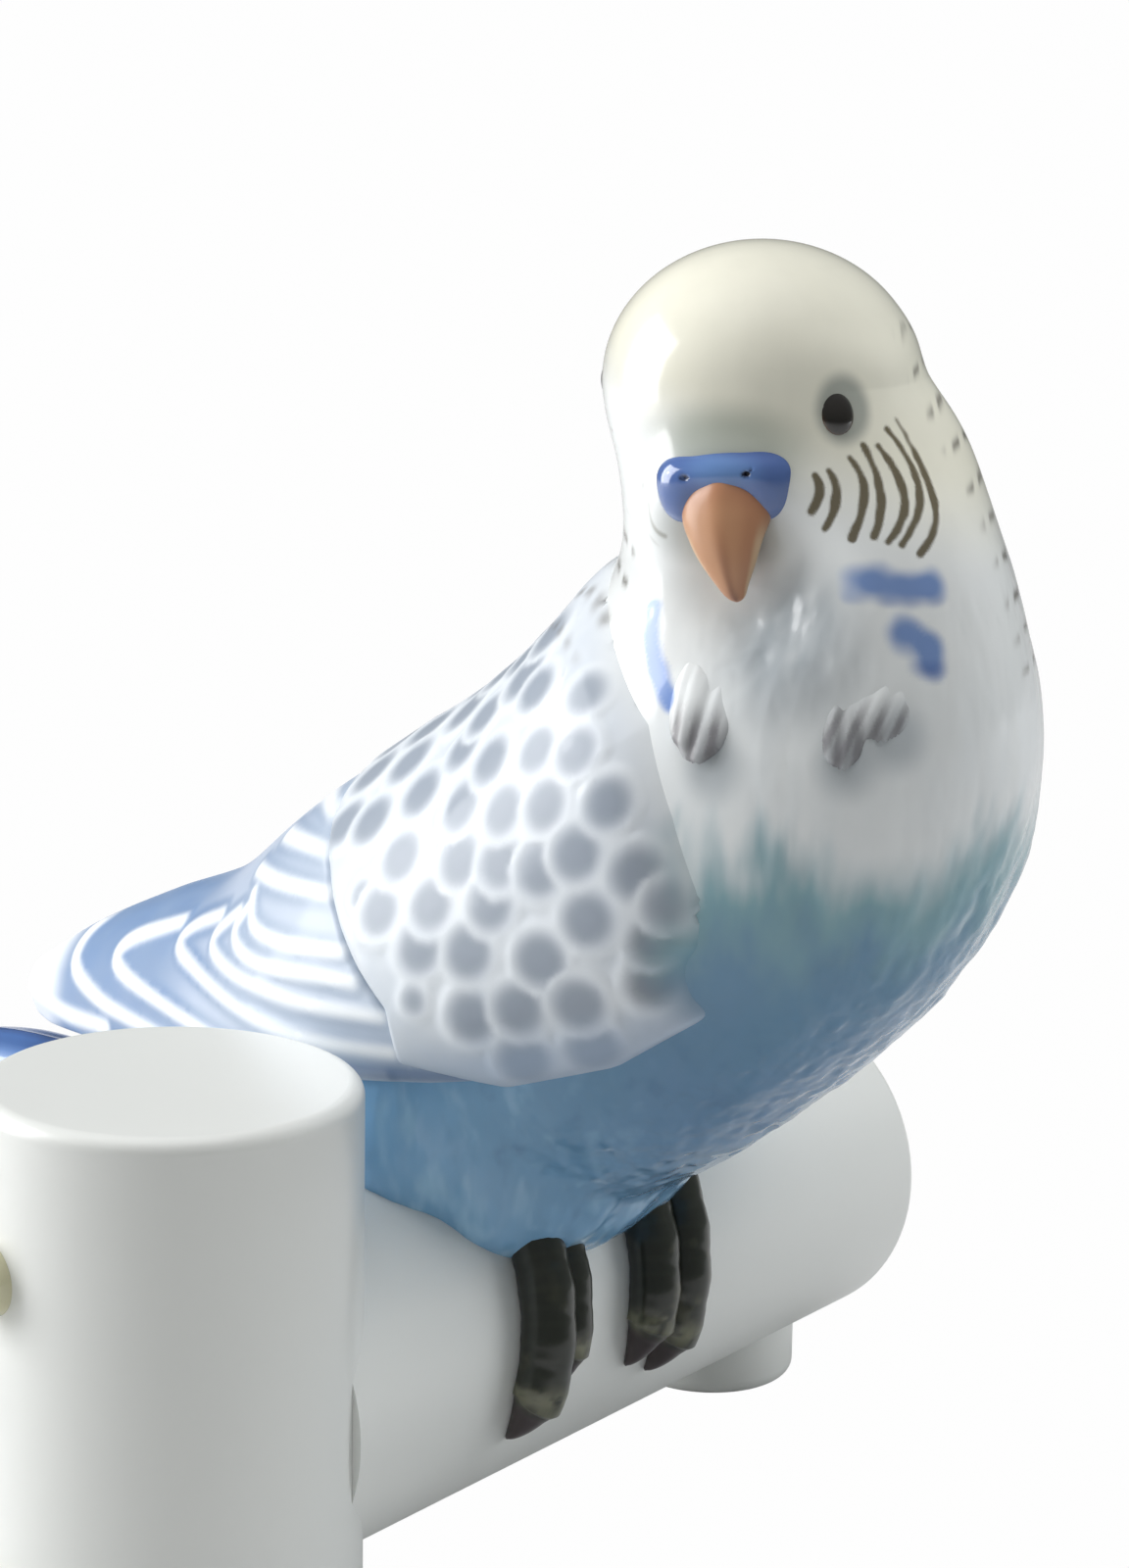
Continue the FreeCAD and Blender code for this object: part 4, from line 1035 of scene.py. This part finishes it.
def ball(c, ax, r, n=28, m=48):
    """closed egg by rings"""
    th = np.linspace(0, np.pi, n + 2)[1:-1]
    ph = np.arange(m) / m * 2 * np.pi
    T_, Pp = np.meshgrid(th, ph, indexing="ij")
    D = np.stack([np.cos(T_), np.sin(T_) * np.cos(Pp), np.sin(T_) * np.sin(Pp)], -1).reshape(-1, 3)
    D = np.concatenate([D, [[1, 0, 0], [-1, 0, 0]]])
    V_ = c + (D * np.asarray(r)) @ np.asarray(ax)
    i = np.arange(n - 1)[:, None]
    j = np.arange(m)[None, :]
    k = (j + 1) % m
    Q_ = np.stack([i * m + j, (i + 1) * m + j, (i + 1) * m + k, i * m + k], -1).reshape(-1, 4)
    j = np.arange(m)
    k = (j + 1) % m
    t0 = np.stack([np.full(m, n * m), j, k], 1)
    t1 = np.stack([np.full(m, n * m + 1), (n - 1) * m + k, (n - 1) * m + j], 1)
    return V_, [Q_, np.concatenate([t0, t1])], D


for name, e in (("left", EYE_L), ("right", EYE_R)):
    p = face(*e)
    g = grad(bird_d, p[None])[0]
    g /= np.linalg.norm(g)
    p = settle(bird_d, p[None], 4)[0]
    side = np.cross(UP, g)
    side /= np.linalg.norm(side)
    top = np.cross(g, side)
    v, f, D = ball(p - g * 0.8, np.stack([g, side, top]), (1.4, 1.5, 1.95))
    ec = np.repeat(lin((30, 26, 22))[None], len(v), 0)
    rim = step(1 - D[:, 0], 0.28, 0.5)
    ec = mix(ec, lin((96, 66, 36)), 0.8 * rim * step(-(D[:, 2]), -0.2, 0.5))
    piece(name + "_eye_bead", v, f, ec, [name + "_eye"], EYE)

# ------------------------------------------------------------------ locks at the bib
def lock_axes(c, tilt):
    g = grad(bird_d, c[None])[0]
    g /= np.linalg.norm(g)
    dn = np.array([0, 0, -1.0]) - g * (-g[2])
    dn /= np.linalg.norm(dn)
    sd = np.cross(g, dn)
    dn, sd = dn * math.cos(tilt) + sd * math.sin(tilt), sd * math.cos(tilt) - dn * math.sin(tilt)
    # the root is buried and the tip stands off the breast
    dn, g = dn + 0.2 * g, g - 0.2 * dn
    return g / np.linalg.norm(g), sd, dn / np.linalg.norm(dn)


def lock_d(items):
    def f(P):
        d = None
        for c, r, tilt in items:
            c = np.array(c, float)
            g, sd, dn = lock_axes(c, tilt)
            e = egg(P, c - g * 0.55, np.stack([g, sd, dn]), r)
            # three soft furrows down the lock
            e = e + 0.07 * np.cos(((P - c) @ sd) * 4.4 + ((P - c) @ dn) * 0.5) * step(-np.abs((P - c) @ sd), -r[1], 0)
            d = e if d is None else smin(d, e, 0.7)
        return smax(d, -(bird_d(P) + 0.9), 0.2)
    return f


def lock_colour(P, items):
    c = bird_colour(P)
    for cc, r, tilt in items:
        cc = np.array(cc, float)
        low = step(cc[2] - P[:, 2], -0.6, r[2] * 0.6)
        streak = 0.5 + 0.5 * fbm(P, (0.7, 0.7, 4.0), 2.0)
        g, sd, dn = lock_axes(cc, tilt)
        # darker lower tip, made deeper in the furrows, where the darkening is painted shade
        furrow_shade = step(np.cos(((P - cc) @ sd) * 4.4 + ((P - cc) @ dn) * 0.5), -0.3, 0.8)
        c = mix(c, lin((116, 114, 118)), 0.85 * low * (0.25 + 0.55 * furrow_shade + 0.2 * streak))
    return c


LOCK_R = [((-16.0, -35.5, 76.9), (0.9, 2.3, 4.4), 0.05), ((-16.6, -33.9, 77.4), (0.8, 1.4, 3.6), 0.2)]
LOCK_L = [((-11.7, -45.0, 77.2), (0.95, 2.0, 4.1), 0.0), ((-9.0, -47.4, 78.8), (0.9, 2.3, 3.8), -0.35)]
for name, items in (("right", LOCK_R), ("left", LOCK_L)):
    f = lock_d(items)
    lo = np.min([np.array(i[0]) for i in items], 0) - 5
    hi = np.max([np.array(i[0]) for i in items], 0) + 5
    v, q = skin(f, lo, hi, 0.5, 1)
    piece(name + "_lock", v, q, lock_colour(v, items), [name + "_throat_tuft"], PAINT_WING)
    print(name, "lock", len(v))

# ------------------------------------------------------------------ toes
BAR_Z, BAR_R = 18.3, 15.0


def toe(xa, xb, a0, a1, half, claw=15.0, nseg=40, n=150):
    """a jointed toe laid over the bar: degrees from the crest (towards -Y), claw at its end"""
    s = np.linspace(0, 1, n)
    aa = np.radians(a0 + (a1 - a0) * s)
    X = xa + (xb - xa) * s
    cl = claw / abs(a1 - a0)                       # share of the length that is claw
    j = np.clip((1 - cl - s) / (1 - cl), 0, 1)
    # plump joints along the toe
    bulge = 1 + 0.02 * np.cos(s * (a1 - a0) / 13.5 * 2 * np.pi * (1 if a1 > a0 else -1))
    pad = half * (0.93 + 0.10 * np.sin(np.pi * s)) * bulge
    tail = np.where(s > 1 - cl, np.clip(1 - ((s - (1 - cl)) / cl), 0, 1)**0.75 * 0.86 + 0.02, 1.0)
    blend = step(s, 1 - cl - 0.05, 1 - cl + 0.05)
    w = pad * (1 - blend) + half * tail * blend
    h = 0.92 * w
    rr = BAR_R + np.maximum(h * 0.62, 0.15)
    C_ = np.stack([X, -rr * np.sin(aa), BAR_Z + rr * np.cos(aa)], 1)
    N_ = np.stack([np.zeros(n), -np.sin(aa), np.cos(aa)], 1)
    T_ = np.gradient(C_, axis=0)
    T_ /= np.linalg.norm(T_, axis=1, keepdims=True)
    A_ = np.cross(N_, T_)
    A_ /= np.linalg.norm(A_, axis=1, keepdims=True)
    B_ = np.cross(T_, A_)
    V_, F_ = sweep(C_, A_, B_, w, h, nseg)
    tt = np.concatenate([np.repeat(s, nseg), [0, 1]])
    ph = np.concatenate([np.tile(np.arange(nseg) / nseg * 2 * np.pi, n), [0, 0]])
    ang = tt * abs(a1 - a0)
    # fine cross scutes
    body = 1 - step(tt, 1 - cl - 0.06, 1 - cl)
    nrm = V_ - np.concatenate([np.repeat(C_, nseg, 0), C_[:1], C_[-1:]])
    L_ = np.linalg.norm(nrm, axis=1, keepdims=True)
    V_ = V_ + nrm / np.maximum(L_, 1e-6) * (0.012 * np.cos(ang / 4.5 * 2 * np.pi) * body)[:, None]
    c_ = np.repeat(lin((40, 43, 36))[None], len(V_), 0)
    c_ = mix(c_, lin((66, 70, 58)), 0.1 * step(np.cos(ang / 4.5 * 2 * np.pi), 0.1, 0.9))
    # painted highlight: olive patches along the middle of the toe
    c_ = mix(c_, lin((104, 104, 82)), 0.4 * step(fbm(V_, 1.6, 3.0), 0.15, 0.7) * step(tt, 0.3, 0.75))
    # painted highlight: a pale band just before the claw; the claw itself dark
    c_ = mix(c_, lin((150, 150, 124)), 0.6 * np.exp(-(((tt - (1 - cl - 0.02)) / 0.035)**2)) * step(fbm(V_, 1.0, 8.0), -0.5, 0.3))
    c_ = mix(c_, lin((56, 44, 46)), step(tt, 1 - cl + 0.0, 1 - cl + 0.05))
    return V_, F_, c_


def joined(parts):
    V_, Q_, T_, C_, n = [], [], [], [], 0
    for v_, f_, c_ in parts:
        V_.append(v_)
        C_.append(c_)
        Q_.append(f_[0] + n)
        T_.append(f_[1] + n)
        n += len(v_)
    return np.concatenate(V_), [np.concatenate(Q_), np.concatenate(T_)], np.concatenate(C_)


for node_name, pars in (("right_foot_outer_toe", [(31.4, 25.2, 28, 114, 2.35)]),
                        ("right_foot_inner_toe", [(34.6, 29.5, 28, 103, 1.9)]),
                        ("left_foot_inner_toe", [(46.2, 40.8, 28, 107, 2.25)]),
                        ("left_foot_outer_toe", [(50.8, 44.6, 28, 114, 2.25)]),
                        ("right_foot_rear_toes", [(31.0, 27.6, -44, -104, 1.8), (35.6, 32.4, -42, -96, 1.7)]),
                        ("left_foot_rear_toes", [(46.6, 43.4, -44, -104, 1.8), (51.6, 48.6, -42, -96, 1.7)])):
    v, f, c = joined([toe(*p) for p in pars])
    piece(node_name.replace("_foot", "").replace("_toe", "_digit"), v, f, c, [node_name], TOEG, local=False)

# ------------------------------------------------------------------ stand
for n in ("post_shell", "post_base_disc", "perch_tube", "perch_foot", "upper_peg", "lower_peg"):
    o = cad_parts[n]
    # the pegs take the cream copy with their shade painted in
    m = PEG_SHADED_GLAZE if "peg" in n else PORCELAIN
    o.data.materials.clear()
    o.data.materials.append(m)

# ------------------------------------------------------------------ camera
EYE_AT = np.array([-242.915, -215.649, 150.185])
P_, R_, PHI = 0.24263, -0.01621, 0.93711
fwd = np.array([0, math.cos(P_), -math.sin(P_)])
right = np.array([1.0, 0, 0])
down = np.cross(fwd, right)
r2 = right * math.cos(R_) + down * math.sin(R_)
d2 = down * math.cos(R_) - right * math.sin(R_)
RZ = np.array([[math.cos(PHI), math.sin(PHI), 0], [-math.sin(PHI), math.cos(PHI), 0], [0, 0, 1.0]])
M = np.stack([r2, d2, fwd]) @ RZ.T
cam = bpy.data.cameras.new("view")
cam.sensor_fit = "VERTICAL"
cam.sensor_height = 36.0
cam.lens = 101.25
cam.clip_start = 0.01
cam.clip_end = 10.0
co = bpy.data.objects.new("view", cam)
X, Y, Z = M[0], -M[1], -M[2]
co.matrix_world = Matrix(((X[0], Y[0], Z[0], EYE_AT[0] * 0.001), (X[1], Y[1], Z[1], EYE_AT[1] * 0.001),
                          (X[2], Y[2], Z[2], EYE_AT[2] * 0.001), (0, 0, 0, 1)))
bpy.context.scene.collection.objects.link(co)
bpy.context.scene.camera = co

# ------------------------------------------------------------------ light
AIM = np.array([38.0, -12.0, 60.0])


def softbox(name, az, el, dist, w, h, power, colour=(1, 1, 1)):
    """az: degrees right of the camera's line as seen from the piece, el: degrees above it"""
    back = (EYE_AT - AIM)
    base = math.atan2(back[1], back[0]) + math.radians(az)
    e = math.radians(el)
    p = AIM + dist * np.array([math.cos(base) * math.cos(e), math.sin(base) * math.cos(e), math.sin(e)])
    L = bpy.data.lights.new(name, "AREA")
    L.shape = "RECTANGLE"
    L.size, L.size_y = w * 0.001, h * 0.001
    L.energy = power
    L.color = colour
    o = bpy.data.objects.new(name, L)
    o.location = Vector(p * 0.001)
    o.rotation_euler = (Vector(AIM * 0.001) - o.location).to_track_quat("-Z", "Y").to_euler()
    bpy.context.scene.collection.objects.link(o)
    return o


softbox("key", -98, 16, 620, 420, 520, 4.2)
tp = softbox("top", -70, 86, 620, 520, 520, 2.9)
tp.visible_glossy = False
softbox("fill", 104, 12, 700, 380, 520, 2.1, (0.96, 0.98, 1.0)).visible_glossy = False
# a window seen only as a reflection, placed so that it shines from the shoulder
sh = np.array([[-17.9, -26.5, 74.6]])
nn = grad(WINGH.dist, settle(WINGH.dist, sh, 3))[0]
nn /= np.linalg.norm(nn)
spot_w = to_world(sh)[0]
nn_w = to_world(sh + nn[None])[0] - spot_w
vv = EYE_AT - spot_w
vv /= np.linalg.norm(vv)
rr_ = 2 * (nn_w @ vv) * nn_w - vv
print("window direction", rr_.round(2), "normal", nn_w.round(2))
wo = softbox("window", 0, 40, 620, 42, 60, 0.10)
wo.location = Vector((spot_w + rr_ * 600) * 0.001)
wo.rotation_euler = (Vector(spot_w * 0.001) - wo.location).to_track_quat("-Z", "Y").to_euler()
wo.visible_diffuse = False

# plain pale floor
fm = bpy.data.materials.new("floor_paper")
fm.use_nodes = True
fn = fm.node_tree
fb = fn.nodes["Principled BSDF"]
fb.inputs["Base Color"].default_value = (0.72, 0.72, 0.72, 1)
fb.inputs["Roughness"].default_value = 0.9
fe = fn.nodes.new("ShaderNodeEmission")
fe.inputs["Color"].default_value = (1, 1, 1, 1)
fe.inputs["Strength"].default_value = 0.99
fx = fn.nodes.new("ShaderNodeMixShader")
fl = fn.nodes.new("ShaderNodeLightPath")
fn.links.new(fl.outputs["Is Camera Ray"], fx.inputs[0])
fn.links.new(fb.outputs[0], fx.inputs[1])
fn.links.new(fe.outputs[0], fx.inputs[2])
fn.links.new(fx.outputs[0], fn.nodes["Material Output"].inputs["Surface"])
fme = bpy.data.meshes.new("floor")
fme.from_pydata([(-3, -3, 0), (3, -3, 0), (3, 3, 0), (-3, 3, 0)], [], [(0, 1, 2, 3)])
fo = bpy.data.objects.new("floor", fme)
fo.location = (0, 0, -0.0002)
fme.materials.append(fm)
bpy.context.scene.collection.objects.link(fo)

world = bpy.data.worlds.new("studio")
bpy.context.scene.world = world
world.use_nodes = True
nt = world.node_tree
nt.nodes.clear()
out = nt.nodes.new("ShaderNodeOutputWorld")
lp = nt.nodes.new("ShaderNodeLightPath")
seen = nt.nodes.new("ShaderNodeBackground")
seen.inputs["Color"].default_value = (1, 1, 1, 1)
seen.inputs["Strength"].default_value = 1.0
lit = nt.nodes.new("ShaderNodeBackground")
lit.inputs["Strength"].default_value = 0.23
tc = nt.nodes.new("ShaderNodeTexCoord")
sep = nt.nodes.new("ShaderNodeSeparateXYZ")
ramp = nt.nodes.new("ShaderNodeValToRGB")
mr = nt.nodes.new("ShaderNodeMapRange")
mr.inputs["From Min"].default_value = -1.0
mr.inputs["From Max"].default_value = 1.0
ramp.color_ramp.elements[0].position = 0.0
ramp.color_ramp.elements[0].color = (0.55, 0.56, 0.55, 1)
ramp.color_ramp.elements[1].position = 1.0
ramp.color_ramp.elements[1].color = (1.0, 1.0, 1.0, 1)
e = ramp.color_ramp.elements.new(0.5)
e.color = (0.52, 0.56, 0.53, 1)
sw = nt.nodes.new("ShaderNodeMixShader")
nt.links.new(tc.outputs["Generated"], sep.inputs[0])
nt.links.new(sep.outputs["Z"], mr.inputs["Value"])
nt.links.new(mr.outputs["Result"], ramp.inputs["Fac"])
nt.links.new(ramp.outputs["Color"], lit.inputs["Color"])
nt.links.new(lp.outputs["Is Camera Ray"], sw.inputs[0])
nt.links.new(lit.outputs[0], sw.inputs[1])
nt.links.new(seen.outputs[0], sw.inputs[2])
nt.links.new(sw.outputs[0], out.inputs["Surface"])
bpy.context.scene.view_settings.view_transform = "Standard"
bpy.context.scene.view_settings.look = "None"
